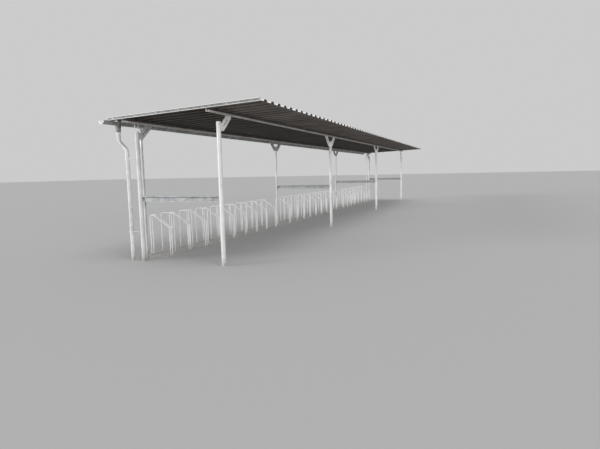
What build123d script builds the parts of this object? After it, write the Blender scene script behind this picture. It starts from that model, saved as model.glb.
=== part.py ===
from build123d import *
import math
import os

os.makedirs("parts", exist_ok=True)

# Open bike shelter of galvanised steel: four frames in a row carry two long beams and a
# lean-to roof of ribbed sheet, with a gutter and a downpipe behind and a bike rack below.
# Millimetres. X runs along the row, +Y points to the back and +Z up. The origin is the
# bottom centre of the whole shelter.

# Layout of the row
bay_length = 5840.0
bay_count = 3
post_spacing = 1690.0
front_overhang = 925.0
back_overhang = 364.0
end_overhang = 320.0
roof_slope = 2.2
seat_clearance = 0.3

# Posts
post_diameter = 76.0
post_wall = 3.6
front_post_height = 2400.0
inner_back_post_diameter = 50.0
inner_back_post_wall = 3.0
cap_rise = 8.0
cap_edge = 6.0

# Long beams, the same profile in front and behind
beam_rise = 132.0
beam_height = 66.0
beam_lip = 24.0
beam_width = 50.0
beam_wall = 3.0

# Arms between the posts and the beams
arm_foot_drop = 270.0
arm_foot_height = 117.0
arm_foot_width = 42.0
arm_reach = 362.0
arm_depth = 16.0
arm_wall = 3.0
arm_end_height = 40.0
arm_stub_length = 62.0

# Cross rails between the front and back posts
rail_height = 98.0
rail_width = 50.0
rail_lip = 16.0
rail_wall = 3.0
rail_middle_z = 1136.0

# Struts beside the end posts of the back row
strut_width = 42.0
strut_depth = 30.0
strut_lip = 10.0
strut_wall = 2.5
strut_side_offset = 205.0
strut_back_offset = 88.0
strut_plate_thickness = 6.0
strut_plate_drop = 56.0
strut_plate_start = -50.0
strut_plate_gap = 2.0
strut_bolt_start = -20.0
strut_bolt_pitch = 82.0
strut_bolt_diameter = 14.0
rod_sides = 6

# Roof sheets
rib_pitch = 250.0
rib_crown = 78.0
rib_web_run = 22.0
rib_depth = 35.0
sheet_thickness = 1.0
ribs_per_sheet = 4
sheet_gap = 1.0
trim_height = 48.0
trim_flange = 14.0
trim_cover = 60.0
trim_thickness = 1.2
trim_gutter_gap = 30.0

# Gutter and downpipe
gutter_radius = 63.5
gutter_wall = 1.2
gutter_bead_radius = 8.0
gutter_drip = 12.5
gutter_rim_drop = 3.0
gutter_end_projection = 75.0
bracket_width = 30.0
bracket_thickness = 5.0
bracket_bar_drop = 38.0
brackets_per_bay = 3
first_bracket_offset = 120.0
pipe_diameter = 70.0
pipe_wall = 1.2
funnel_diameter = 118.0
funnel_length = 128.0
funnel_wrap = 30.0
funnel_sides = 16
collar_diameter = 82.0
collar_height = 22.0
pipe_bend_drop = 145.0
pipe_post_gap = 245.0
pipe_bevel = 40.0
lower_clamp_z = 520.0
upper_clamp_drop = 170.0
clamp_height = 26.0
clamp_thickness = 3.0
clamp_lug = 22.0
clamp_rod_diameter = 10.0

# Bike rack
hoop_bar = 16.0
hoop_spacing = 65.0
hoop_front_height = 550.0
hoop_back_height = 835.0
hoop_corner = 45.0
rack_front_inset = 140.0
rack_back_offset = 310.0
holder_pitch = 600.0
holders_per_bay = 9
first_holder_offset = 620.0
hoop_lock_height = 800.0
floor_rail_width = 40.0
floor_rail_thickness = 8.0
floor_rail_end = 120.0

# Places that follow from the sizes above
slope = math.radians(roof_slope)
frame_count = bay_count + 1
row_length = bay_length * bay_count
roof_length = row_length + 2 * end_overhang
frame_xs = [-row_length / 2 + number * bay_length for number in range(frame_count)]
gutter_axis_offset = back_overhang - gutter_drip + gutter_radius
bead_reach = gutter_radius - gutter_wall + gutter_bead_radius
total_depth = (
    front_overhang + post_spacing + gutter_axis_offset + bead_reach + gutter_bead_radius
)
front_y = -total_depth / 2 + front_overhang
back_y = front_y + post_spacing
sheet_front_y = front_y - front_overhang
sheet_back_y = back_y + back_overhang
gutter_y = back_y + gutter_axis_offset
front_beam_bottom = front_post_height + beam_rise
front_beam_top = front_beam_bottom + beam_height
front_bearing_y = front_y + beam_width / 2
back_bearing_y = back_y + beam_width / 2


def underside_z(y):
    """Height of the roof sheets' lowest face at a given Y."""
    return front_beam_top + seat_clearance - (y - front_bearing_y) * math.tan(slope)


back_beam_top = underside_z(back_bearing_y) - seat_clearance
back_beam_bottom = back_beam_top - beam_height
back_post_height = back_beam_bottom - beam_rise


def lipped_channel(plane, width, height, lip, wall):
    """Section of a lipped channel, open towards the plane's -X side."""
    with BuildSketch(plane) as section:
        Rectangle(width, height)
        Rectangle(width - 2 * wall, height - 2 * wall, mode=Mode.SUBTRACT)
        with Locations((-width / 2 + wall / 2, 0)):
            Rectangle(wall, height - 2 * lip, mode=Mode.SUBTRACT)
    return section.sketch


# Front posts: round tubes with a low domed cap
for number, x in enumerate(frame_xs, start=1):
    with BuildPart() as front_post:
        with BuildSketch():
            with Locations((x, front_y)):
                Circle(post_diameter / 2)
                Circle(post_diameter / 2 - post_wall, mode=Mode.SUBTRACT)
        extrude(amount=front_post_height)
    front_post.part.label = f"front_post_{number}"
    export_step(front_post.part, f"parts/front_post_{number}.step")

with BuildPart() as post_caps:
    with BuildSketch(Plane.XY.offset(front_post_height + seat_clearance)):
        with Locations(*[(x, front_y) for x in frame_xs]):
            Circle(post_diameter / 2)
    extrude(amount=cap_rise)
    chamfer(post_caps.faces().sort_by(Axis.Z)[-frame_count:].edges(), length=cap_edge)
post_caps.part.label = "post_caps"
export_step(post_caps.part, "parts/post_caps.step")

# Back posts: open tubes, thinner at the inner frames
for number, x in enumerate(frame_xs, start=1):
    at_end = number in (1, frame_count)
    diameter = post_diameter if at_end else inner_back_post_diameter
    wall = post_wall if at_end else inner_back_post_wall
    with BuildPart() as back_post:
        with BuildSketch():
            with Locations((x, back_y)):
                Circle(diameter / 2)
                Circle(diameter / 2 - wall, mode=Mode.SUBTRACT)
        extrude(amount=back_post_height)
    back_post.part.label = f"back_post_{number}"
    export_step(back_post.part, f"parts/back_post_{number}.step")

# Cross rails: lipped channels coped to the round posts, open towards the row's start
cope_height = rail_height + 2 * rail_wall
for number, x in enumerate(frame_xs, start=1):
    at_end = number in (1, frame_count)
    back_diameter = post_diameter if at_end else inner_back_post_diameter
    rail_plane = Plane(origin=(x, front_y, rail_middle_z), x_dir=(1, 0, 0), z_dir=(0, 1, 0))
    with BuildPart() as cross_rail:
        extrude(
            lipped_channel(rail_plane, rail_width, rail_height, rail_lip, rail_wall),
            amount=post_spacing,
        )
        with Locations((x, front_y, rail_middle_z)):
            Cylinder(post_diameter / 2 + seat_clearance, cope_height, mode=Mode.SUBTRACT)
        with Locations((x, back_y, rail_middle_z)):
            Cylinder(back_diameter / 2 + seat_clearance, cope_height, mode=Mode.SUBTRACT)
    cross_rail.part.label = f"cross_rail_{number}"
    export_step(cross_rail.part, f"parts/cross_rail_{number}.step")

# Long beams: lipped channels open towards the front
beam_start_x = -roof_length / 2
for name, y, bottom in (
    ("front_beam", front_y, front_beam_bottom),
    ("back_beam", back_y, back_beam_bottom),
):
    beam_plane = Plane(
        origin=(beam_start_x, y, bottom + beam_height / 2), x_dir=(0, 1, 0), z_dir=(1, 0, 0)
    )
    with BuildPart() as beam:
        extrude(
            lipped_channel(beam_plane, beam_width, beam_height, beam_lip, beam_wall),
            amount=roof_length,
        )
    beam.part.label = name
    export_step(beam.part, f"parts/{name}.step")


def arm(x, y, post_radius, beam_bottom, side):
    """A pressed arm from a post's side up to the beam; side is +1 or -1 along X."""
    top = beam_bottom - seat_clearance
    foot = beam_bottom - arm_foot_drop
    inner = post_radius + seat_clearance + arm_stub_length
    outer = post_radius + arm_reach
    inner_high = foot + arm_foot_height
    inner_top = inner + (top - inner_high)
    outline = [
        (inner, foot),
        (inner + arm_foot_width, foot),
        (outer, top - arm_end_height),
        (outer, top),
        (inner_top, top),
        (inner, inner_high),
    ]
    face_plane = Plane(origin=(x, y - arm_depth / 2, 0), x_dir=(side, 0, 0), z_dir=(0, -side, 0))
    with BuildPart() as piece:
        with BuildSketch(face_plane) as face:
            with BuildLine():
                Polyline(*outline, close=True)
            make_face()
        extrude(amount=-side * arm_depth)
        with BuildSketch(face_plane.offset(-side * arm_wall)):
            add(face.sketch_local)
            offset(amount=-arm_wall, kind=Kind.INTERSECTION, mode=Mode.REPLACE)
        extrude(amount=-side * arm_depth, mode=Mode.SUBTRACT)
        stub_middle = post_radius + seat_clearance + arm_stub_length / 2
        with Locations((x + side * stub_middle, y, foot + arm_foot_height / 2)):
            Box(arm_stub_length, arm_depth, arm_foot_height)
    return piece.part


for number, x in enumerate(frame_xs, start=1):
    at_end = number in (1, frame_count)
    sides = [side for side in (-1, 1) if not (number == 1 and side < 0)]
    sides = [side for side in sides if not (number == frame_count and side > 0)]
    back_radius = (post_diameter if at_end else inner_back_post_diameter) / 2
    with BuildPart() as front_arms:
        for side in sides:
            add(arm(x, front_y, post_diameter / 2, front_beam_bottom, side))
    front_arms.part.label = f"front_arms_{number}"
    export_step(front_arms.part, f"parts/front_arms_{number}.step")
    with BuildPart() as back_arms:
        for side in sides:
            add(arm(x, back_y, back_radius, back_beam_bottom, side))
    back_arms.part.label = f"back_arms_{number}"
    export_step(back_arms.part, f"parts/back_arms_{number}.step")

# Struts beside the end posts of the back row: each carries a plate that two bolts hang
# under the back beam
plate_top = back_beam_bottom - strut_plate_drop
strut_top = plate_top - strut_plate_thickness
for number, x, inward in ((1, frame_xs[0], 1), (frame_count, frame_xs[-1], -1)):
    strut_x = x + inward * strut_side_offset
    strut_y = back_y + strut_back_offset
    strut_plane = Plane(origin=(strut_x, strut_y, 0), x_dir=(0, 1, 0), z_dir=(0, 0, 1))
    plate_front_y = back_y + arm_depth / 2 + strut_plate_gap
    plate_back_y = strut_y + strut_depth / 2
    plate_near_x = x + inward * strut_plate_start
    plate_far_x = strut_x + inward * strut_width / 2
    with BuildPart() as strut:
        extrude(
            lipped_channel(strut_plane, strut_depth, strut_width, strut_lip, strut_wall),
            amount=strut_top,
        )
        with Locations(
            (
                (plate_near_x + plate_far_x) / 2,
                (plate_front_y + plate_back_y) / 2,
                strut_top + strut_plate_thickness / 2,
            )
        ):
            Box(
                abs(plate_far_x - plate_near_x),
                plate_back_y - plate_front_y,
                strut_plate_thickness,
            )
        with BuildSketch(Plane.XY.offset(plate_top)):
            for reach in (strut_bolt_start, strut_bolt_start + strut_bolt_pitch):
                with Locations((x + inward * reach, plate_front_y + strut_bolt_diameter / 2)):
                    RegularPolygon(strut_bolt_diameter / 2, rod_sides)
        extrude(amount=strut_plate_drop - seat_clearance)
    strut.part.label = f"back_strut_{number}"
    export_step(strut.part, f"parts/back_strut_{number}.step")

# Roof sheets: ribs run down the slope; each sheet is its own solid, three groups in all
slope_plane_z = underside_z(sheet_back_y)
sheet_length = (sheet_back_y - sheet_front_y) / math.cos(slope)
sheet_width = rib_pitch * ribs_per_sheet
sheet_count = round(roof_length / sheet_width)
end_margin = (roof_length - sheet_count * sheet_width) / 2
web_shift = sheet_thickness * math.tan(math.atan2(rib_depth, rib_web_run) / 2)


def sheet_outline(width_left, width_right):
    """Closed outline of one sheet; the flat edges reach width_left and width_right past the ribs."""
    upper = [(-width_left, sheet_thickness)]
    lower = [(-width_left, 0)]
    for rib in range(ribs_per_sheet):
        middle = (rib + 0.5) * rib_pitch
        foot = rib_crown / 2 + rib_web_run
        crown = rib_crown / 2
        upper += [
            (middle - foot, sheet_thickness),
            (middle - crown, rib_depth + sheet_thickness),
            (middle + crown, rib_depth + sheet_thickness),
            (middle + foot, sheet_thickness),
        ]
        lower += [
            (middle - foot + web_shift, 0),
            (middle - crown + web_shift, rib_depth),
            (middle + crown - web_shift, rib_depth),
            (middle + foot - web_shift, 0),
        ]
    upper.append((sheet_width + width_right, sheet_thickness))
    lower.append((sheet_width + width_right, 0))
    return upper + lower[::-1]


group_size = math.ceil(sheet_count / bay_count)
for group in range(bay_count):
    with BuildPart() as roof_sheets:
        for number in range(group * group_size, min((group + 1) * group_size, sheet_count)):
            start_x = -sheet_count * sheet_width / 2 + number * sheet_width
            left = end_margin if number == 0 else -sheet_gap / 2
            right = end_margin if number == sheet_count - 1 else -sheet_gap / 2
            sheet_plane = Plane(
                origin=(start_x, sheet_back_y, slope_plane_z),
                x_dir=(1, 0, 0),
                z_dir=(0, -math.cos(slope), math.sin(slope)),
            )
            with BuildSketch(sheet_plane):
                with BuildLine():
                    Polyline(*sheet_outline(left, right), close=True)
                make_face()
            extrude(amount=sheet_length)
    roof_sheets.part.label = f"roof_sheets_{group + 1}"
    export_step(roof_sheets.part, f"parts/roof_sheets_{group + 1}.step")

# Gable trims: channels open outwards along both gable edges, with a top leg over the sheet
trim_back_y = gutter_y - gutter_radius - trim_gutter_gap
trim_length = (trim_back_y - sheet_front_y) / math.cos(slope)
trim_top = rib_depth + sheet_thickness + seat_clearance + trim_thickness
for name, side in (("start", -1), ("end", 1)):
    trim_plane = Plane(
        origin=(side * roof_length / 2, trim_back_y, underside_z(trim_back_y)),
        x_dir=(1, 0, 0),
        z_dir=(0, -math.cos(slope), math.sin(slope)),
    )
    inside = side * seat_clearance
    face = side * (seat_clearance + trim_thickness)
    flange = side * trim_flange
    with BuildPart() as gable_trim:
        with BuildSketch(trim_plane):
            with BuildLine():
                Polyline(
                    (-side * trim_cover, trim_top),
                    (flange, trim_top),
                    (flange, trim_top - trim_thickness),
                    (face, trim_top - trim_thickness),
                    (face, trim_top - trim_height + trim_thickness),
                    (flange, trim_top - trim_height + trim_thickness),
                    (flange, trim_top - trim_height),
                    (inside, trim_top - trim_height),
                    (inside, trim_top - trim_thickness),
                    (-side * trim_cover, trim_top - trim_thickness),
                    close=True,
                )
            make_face()
        extrude(amount=trim_length)
    gable_trim.part.label = f"gable_trim_{name}"
    export_step(gable_trim.part, f"parts/gable_trim_{name}.step")

# Gutter: a half-round trough with closed ends, a rolled bead along its outer rim and an
# outlet hole over the downpipe
gutter_rim_z = slope_plane_z - gutter_rim_drop
gutter_length = roof_length + 2 * gutter_end_projection
gutter_plane = Plane(
    origin=(-gutter_length / 2, gutter_y, gutter_rim_z), x_dir=(0, 1, 0), z_dir=(1, 0, 0)
)
pipe_x = frame_xs[0]
pipe_radius = pipe_diameter / 2
with BuildPart() as gutter:
    with BuildSketch(gutter_plane):
        Circle(gutter_radius)
        with Locations((0, gutter_radius / 2)):
            Rectangle(2 * gutter_radius, gutter_radius, mode=Mode.SUBTRACT)
    extrude(amount=gutter_length)
    with BuildSketch(gutter_plane.offset(gutter_wall)):
        Circle(gutter_radius - gutter_wall)
    extrude(amount=gutter_length - 2 * gutter_wall, mode=Mode.SUBTRACT)
    with BuildSketch(gutter_plane):
        with Locations((bead_reach, -gutter_bead_radius)):
            Circle(gutter_bead_radius)
    extrude(amount=gutter_length)
    with Locations((pipe_x, gutter_y, gutter_rim_z - gutter_radius)):
        Cylinder(pipe_radius, gutter_radius / 2, mode=Mode.SUBTRACT)
gutter.part.label = "gutter"
export_step(gutter.part, "parts/gutter.step")

# Gutter brackets: a flat bar from the back beam, bent around the gutter's underside
bracket_xs = [
    frame_xs[0] + first_bracket_offset + number * bay_length / brackets_per_bay
    for number in range(bay_count * brackets_per_bay)
]
bracket_inner = gutter_radius + seat_clearance
bracket_outer = bracket_inner + bracket_thickness
bracket_start_y = back_y + beam_width / 2 + seat_clearance
bracket_top_drop = 2 * gutter_bead_radius + seat_clearance
with BuildPart() as gutter_brackets:
    for x in bracket_xs:
        bracket_plane = Plane(
            origin=(x - bracket_width / 2, gutter_y, gutter_rim_z), x_dir=(0, 1, 0), z_dir=(1, 0, 0)
        )
        with BuildSketch(bracket_plane):
            with Locations(((bracket_start_y - gutter_y) / 2, -bracket_bar_drop)):
                Rectangle(gutter_y - bracket_start_y, bracket_thickness)
            Circle(bracket_outer)
            with Locations((0, (bracket_outer - bracket_top_drop) / 2)):
                Rectangle(2 * bracket_outer, bracket_outer + bracket_top_drop, mode=Mode.SUBTRACT)
            Circle(bracket_inner, mode=Mode.SUBTRACT)
        extrude(amount=bracket_width)
gutter_brackets.part.label = "gutter_brackets"
export_step(gutter_brackets.part, "parts/gutter_brackets.step")

# Outlet: a tapered saddle that hugs the gutter's underside, with a collar below
funnel_top_z = gutter_rim_z - gutter_radius + funnel_wrap
funnel_bottom_z = gutter_rim_z - gutter_radius - funnel_length
funnel_height = funnel_top_z - funnel_bottom_z
collar_bore = pipe_radius + seat_clearance


def funnel(top_radius, bottom_radius):
    """A many-sided solid that widens upwards from the top of the outlet's collar."""
    bottom = Plane(origin=(pipe_x, gutter_y, funnel_bottom_z))
    widening = (top_radius - bottom_radius) * math.cos(math.pi / funnel_sides)
    with BuildPart() as piece:
        with BuildSketch(bottom):
            RegularPolygon(bottom_radius, funnel_sides)
        extrude(amount=funnel_height)
        sides = piece.faces().filter_by(Axis.Z, reverse=True)
        draft(sides, bottom, -math.degrees(math.atan2(widening, funnel_height)))
    return piece.part


with BuildPart() as outlet:
    add(funnel(funnel_diameter / 2, collar_diameter / 2))
    add(funnel(funnel_diameter / 2 - pipe_wall, collar_bore), mode=Mode.SUBTRACT)
    with BuildSketch(Plane.XY.offset(funnel_bottom_z)):
        with Locations((pipe_x, gutter_y)):
            Circle(collar_diameter / 2)
            Circle(collar_bore, mode=Mode.SUBTRACT)
    extrude(amount=-collar_height)
    with BuildSketch(gutter_plane):
        Circle(gutter_radius + seat_clearance)
    extrude(amount=gutter_length, mode=Mode.SUBTRACT)
outlet.part.label = "gutter_outlet"
export_step(outlet.part, "parts/gutter_outlet.step")

# Downpipe: a thin tube that steps forward under the outlet and runs down to the ground;
# the step slants at 45 degrees and each bend is mitred from straight lengths
pipe_y = back_y + pipe_post_gap
pipe_step = gutter_y - pipe_y
pipe_bend_z = funnel_bottom_z - pipe_bend_drop
bevel_run = pipe_bevel / math.sqrt(2)
with BuildPart() as downpipe:
    with BuildLine():
        Polyline(
            (pipe_x, gutter_y, funnel_bottom_z - seat_clearance),
            (pipe_x, gutter_y, pipe_bend_z + pipe_bevel),
            (pipe_x, gutter_y - bevel_run, pipe_bend_z - bevel_run),
            (pipe_x, pipe_y + bevel_run, pipe_bend_z - pipe_step + bevel_run),
            (pipe_x, pipe_y, pipe_bend_z - pipe_step - pipe_bevel),
            (pipe_x, pipe_y, 0),
        )
    with BuildSketch(
        Plane(origin=(pipe_x, gutter_y, funnel_bottom_z - seat_clearance), z_dir=(0, 0, -1))
    ):
        Circle(pipe_radius)
        Circle(pipe_radius - pipe_wall, mode=Mode.SUBTRACT)
    sweep(transition=Transition.RIGHT)
downpipe.part.label = "downpipe"
export_step(downpipe.part, "parts/downpipe.step")

# Pipe clamps: a ring with two lugs, on a rod from the back post
clamp_inner = pipe_radius + seat_clearance
clamp_outer = clamp_inner + clamp_thickness
rod_start = back_y + post_diameter / 2 + seat_clearance
upper_clamp_z = pipe_bend_z - pipe_step - upper_clamp_drop
with BuildPart() as pipe_clamps:
    for height in (lower_clamp_z, upper_clamp_z):
        with BuildSketch(Plane.XY.offset(height)):
            with Locations((pipe_x, pipe_y)):
                Circle(clamp_outer)
                Rectangle(2 * clamp_thickness, 2 * (clamp_outer + clamp_lug))
                Circle(clamp_inner, mode=Mode.SUBTRACT)
        extrude(amount=clamp_height)
        with BuildSketch(
            Plane(
                origin=(pipe_x, rod_start, height + clamp_height / 2),
                x_dir=(1, 0, 0),
                z_dir=(0, 1, 0),
            )
        ):
            RegularPolygon(clamp_rod_diameter / 2, rod_sides)
        extrude(amount=pipe_y - clamp_outer - rod_start)
pipe_clamps.part.label = "pipe_clamps"
export_step(pipe_clamps.part, "parts/pipe_clamps.step")

# Bike rack: floor rails, pairs of wheel hoops and single lock hoops, bay by bay
rack_front_y = back_y - rack_front_inset
rack_back_y = back_y + rack_back_offset
hoop_foot_z = floor_rail_thickness


def hoop(x, front, front_height, back, back_height):
    """One bent bar that stands on the floor rails in the plane of a given X."""
    span = back - front
    rise = back_height - front_height
    top_length = math.hypot(span, rise)
    along = (span / top_length, rise / top_length)
    with BuildPart() as piece:
        with BuildLine():
            Polyline(
                (x, front, hoop_foot_z),
                (x, front, front_height - hoop_corner),
                (x, front + hoop_corner * along[0], front_height + hoop_corner * along[1]),
                (x, back - hoop_corner * along[0], back_height - hoop_corner * along[1]),
                (x, back, back_height - hoop_corner),
                (x, back, hoop_foot_z),
            )
        with BuildSketch(Plane.XY.offset(hoop_foot_z)):
            with Locations((x, front)):
                Rectangle(hoop_bar, hoop_bar)
        sweep(transition=Transition.RIGHT)
    return piece.part


for bay in range(bay_count):
    bay_start = frame_xs[bay]
    holder_xs = [bay_start + first_holder_offset + n * holder_pitch for n in range(holders_per_bay)]
    rail_start = holder_xs[0] - floor_rail_end
    rail_end = holder_xs[-1] + floor_rail_end
    rail_middle_x = (rail_start + rail_end) / 2
    with BuildPart() as floor_rails:
        for y in (rack_front_y, rack_back_y):
            with Locations((rail_middle_x, y, floor_rail_thickness / 2)):
                Box(rail_end - rail_start, floor_rail_width, floor_rail_thickness)
        with Locations((bay_start + bay_length / 2, back_y, floor_rail_thickness / 2)):
            Box(bay_length, floor_rail_width, floor_rail_thickness)
        for number in (bay, bay + 1):
            at_end = number in (0, frame_count - 1)
            diameter = post_diameter if at_end else inner_back_post_diameter
            with Locations((frame_xs[number], back_y, floor_rail_thickness / 2)):
                Cylinder(
                    diameter / 2 + seat_clearance,
                    2 * floor_rail_thickness,
                    mode=Mode.SUBTRACT,
                )
    floor_rails.part.label = f"floor_rails_{bay + 1}"
    export_step(floor_rails.part, f"parts/floor_rails_{bay + 1}.step")

    wheel_hoop = hoop(0, rack_front_y, hoop_front_height, rack_back_y, hoop_back_height)
    with BuildPart() as wheel_hoops:
        for x in holder_xs:
            with Locations((x - hoop_spacing / 2, 0, 0), (x + hoop_spacing / 2, 0, 0)):
                add(wheel_hoop)
    wheel_hoops.part.label = f"wheel_hoops_{bay + 1}"
    export_step(wheel_hoops.part, f"parts/wheel_hoops_{bay + 1}.step")

    lock_xs = [x + holder_pitch / 2 for x in holder_xs[:-1]]
    lock_hoop = hoop(0, back_y, hoop_lock_height, rack_back_y, hoop_lock_height)
    with BuildPart() as lock_hoops:
        for x in lock_xs:
            with Locations((x, 0, 0)):
                add(lock_hoop)
    lock_hoops.part.label = f"lock_hoops_{bay + 1}"
    export_step(lock_hoops.part, f"parts/lock_hoops_{bay + 1}.step")
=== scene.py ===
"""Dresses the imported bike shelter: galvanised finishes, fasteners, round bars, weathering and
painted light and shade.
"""
import logging
import math
from dataclasses import dataclass
from enum import Enum

import bmesh
import bpy
from mathutils import Matrix, Vector


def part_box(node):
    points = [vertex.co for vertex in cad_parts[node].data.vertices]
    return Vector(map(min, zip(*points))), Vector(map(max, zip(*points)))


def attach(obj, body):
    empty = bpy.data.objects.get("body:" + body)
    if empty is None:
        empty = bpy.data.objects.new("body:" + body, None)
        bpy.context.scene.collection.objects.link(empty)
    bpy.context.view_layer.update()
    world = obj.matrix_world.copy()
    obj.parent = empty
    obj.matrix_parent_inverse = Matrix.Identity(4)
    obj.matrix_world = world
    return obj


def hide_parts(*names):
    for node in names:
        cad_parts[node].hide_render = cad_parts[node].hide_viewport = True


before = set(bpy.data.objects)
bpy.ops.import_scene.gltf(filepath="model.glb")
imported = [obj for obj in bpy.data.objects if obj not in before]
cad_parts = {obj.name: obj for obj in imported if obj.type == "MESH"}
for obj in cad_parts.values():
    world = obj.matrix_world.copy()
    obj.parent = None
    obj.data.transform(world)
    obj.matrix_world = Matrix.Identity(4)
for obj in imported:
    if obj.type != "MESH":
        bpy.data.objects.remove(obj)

LOG = logging.getLogger("bike_shelter")
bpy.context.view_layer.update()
BODY = "root"
Colour = tuple[float, float, float]
Rgba = tuple[float, float, float, float]
Span = tuple[float, float]
UNIT: Span = (0.0, 1.0)
FADE_OUT: Span = (1.0, 0.0)
BUMP_DEPTH = 0.001
ALONG, BACK, UP = (Vector(way) for way in ((1, 0, 0), (0, 1, 0), (0, 0, 1)))


# Layout


class Side(Enum):
    """The two rows of posts."""

    FRONT = "front"
    BACK = "back"


@dataclass(frozen=True)
class Layout:
    """Main places of the shelter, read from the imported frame, in metres."""

    front_y: float
    back_y: float
    frame_xs: tuple[float, ...]
    bay_length: float = 5.84
    roof_slope: float = math.radians(2.2)
    rib_pitch: float = 0.25
    gutter_radius: float = 0.0635
    beam_width: float = 0.05
    beam_wall: float = 0.003
    beam_lip: float = 0.024
    trim_hem: float = 0.0065
    clearance: float = 0.0003

    @staticmethod
    def read() -> "Layout":
        """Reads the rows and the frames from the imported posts.

        Returns:
            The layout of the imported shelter.
        """
        posts = sorted(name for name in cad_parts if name.startswith("front_post_"))
        middles = [sum(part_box(name), Vector()) / 2 for name in posts]
        back = sum(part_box("back_post_1"), Vector()) / 2
        return Layout(middles[0].y, back.y, tuple(middle.x for middle in middles))

    @property
    def numbers(self) -> range:
        """Frame numbers, from 1."""
        return range(1, len(self.frame_xs) + 1)

    @property
    def bays(self) -> range:
        """Bay numbers, from 1."""
        return range(1, len(self.frame_xs))

    def row_y(self, side: Side) -> float:
        """Y of a row of posts."""
        return self.front_y if side is Side.FRONT else self.back_y

    @property
    def roof_normal(self) -> Vector:
        """Direction straight out of the roof's upper face."""
        return Vector((0, math.sin(self.roof_slope), math.cos(self.roof_slope)))

    @property
    def roof_fall(self) -> Vector:
        """Direction down the roof, from the front edge to the gutter."""
        return Vector((0, math.cos(self.roof_slope), -math.sin(self.roof_slope)))

    @property
    def roof_span(self) -> Span:
        """Lowest and highest X of the sheets."""
        boxes = [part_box(name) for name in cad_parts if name.startswith("roof_sheets_")]
        return min(low.x for low, _ in boxes), max(high.x for _, high in boxes)

    @property
    def gutter_axis(self) -> Span:
        """Y and Z of the middle of the gutter's half-round section."""
        low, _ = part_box("gutter")
        return low.y + self.gutter_radius, low.z + self.gutter_radius

    def post_radius(self, side: Side, number: int) -> float:
        """Radius of a post."""
        low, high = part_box(f"{side.value}_post_{number}")
        return (high.x - low.x) / 2

    def sheet_underside(self, y: float) -> float:
        """Height of the roof sheets' lowest face.

        Args:
            y: The place across the roof.

        Returns:
            The height above the ground.
        """
        bearing_y = self.front_y + self.beam_width / 2
        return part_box("front_beam")[1].z - (y - bearing_y) * math.tan(self.roof_slope)

    def arm_sides(self, number: int) -> list[int]:
        """Directions along X in which a frame's arms reach.

        Args:
            number: Number of the frame.

        Returns:
            One direction at an end of the row and two elsewhere.
        """
        sides = []
        if number > 1:
            sides.append(-1)
        if number < len(self.frame_xs):
            sides.append(1)
        return sides


# Node trees


class NodeSheet:
    """Adds nodes to one node tree and joins them by socket."""

    # Numbers of the Mix node's colour sockets
    mix_colours = (6, 7)
    mix_result = 2

    def __init__(self, tree: bpy.types.NodeTree) -> None:
        """Keeps the tree that the nodes go into."""
        self.tree = tree

    def add(self, kind: str, values: dict | None = None, **settings: object) -> bpy.types.Node:
        """Adds one node.

        Args:
            kind: Blender's name for the kind of node.
            values: Unlinked input values or links, by socket name or number.
            **settings: Properties of the node.

        Returns:
            The new node.
        """
        node = self.tree.nodes.new(kind)
        for name, value in settings.items():
            setattr(node, name, value)
        for name, value in (values or {}).items():
            socket = node.inputs[name]
            if isinstance(value, bpy.types.NodeSocket):
                self.tree.links.new(value, socket)
            else:
                socket.default_value = value
        return node

    def maths(self, operation: str, first: object, second: object = 0.0) -> bpy.types.NodeSocket:
        """Adds a Math node and returns its result."""
        node = self.add("ShaderNodeMath", {0: first, 1: second}, operation=operation)
        return node.outputs[0]

    def remap(self, value: object, source: Span, target: Span = UNIT) -> bpy.types.NodeSocket:
        """Maps a value from one clamped span to another."""
        node = self.add("ShaderNodeMapRange", {
            "Value": value,
            "From Min": source[0],
            "From Max": source[1],
            "To Min": target[0],
            "To Max": target[1],
        })
        return node.outputs["Result"]

    def blend(self, factor: object, first: object, second: object) -> bpy.types.NodeSocket:
        """Mixes two colours.

        Args:
            factor: Share of the second colour.
            first: The colour below.
            second: The colour on top.

        Returns:
            The mixed colour.
        """
        base, layer = self.mix_colours
        node = self.add("ShaderNodeMix", {0: factor, base: first, layer: second}, data_type="RGBA")
        return node.outputs[self.mix_result]

    def place(self) -> bpy.types.NodeSocket:
        """Adds the Object coordinates."""
        return self.add("ShaderNodeTexCoord").outputs["Object"]

    def split(self, vector: bpy.types.NodeSocket) -> bpy.types.Node:
        """Adds a node that splits a vector into X, Y and Z."""
        return self.add("ShaderNodeSeparateXYZ", {"Vector": vector})

    def noise(self, place: bpy.types.NodeSocket, scale: object, detail: float,
              roughness: float = 0.5) -> bpy.types.NodeSocket:
        """Adds a noise and returns its grey value.

        Args:
            place: Where the noise is read.
            scale: Patches per metre.
            detail: Steps of finer noise.
            roughness: Strength of the finer noise.

        Returns:
            The grey value.
        """
        return self.add("ShaderNodeTexNoise", {
            "Vector": place,
            "Scale": scale,
            "Detail": detail,
            "Roughness": roughness,
        }).outputs["Fac"]

    def group(self, tree: bpy.types.NodeTree, values: dict) -> bpy.types.Node:
        """Adds a node group with its input values or links."""
        return self.add("ShaderNodeGroup", values, node_tree=tree)

    def direction(self, label: str) -> bpy.types.NodeSocket:
        """Reads a direction that every point of a mesh carries."""
        return self.add("GeometryNodeInputNamedAttribute", {"Name": label},
                        data_type="FLOAT_VECTOR").outputs[0]


def opaque(colour: Colour) -> Rgba:
    """A colour with full alpha."""
    return (*colour, 1.0)


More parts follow.
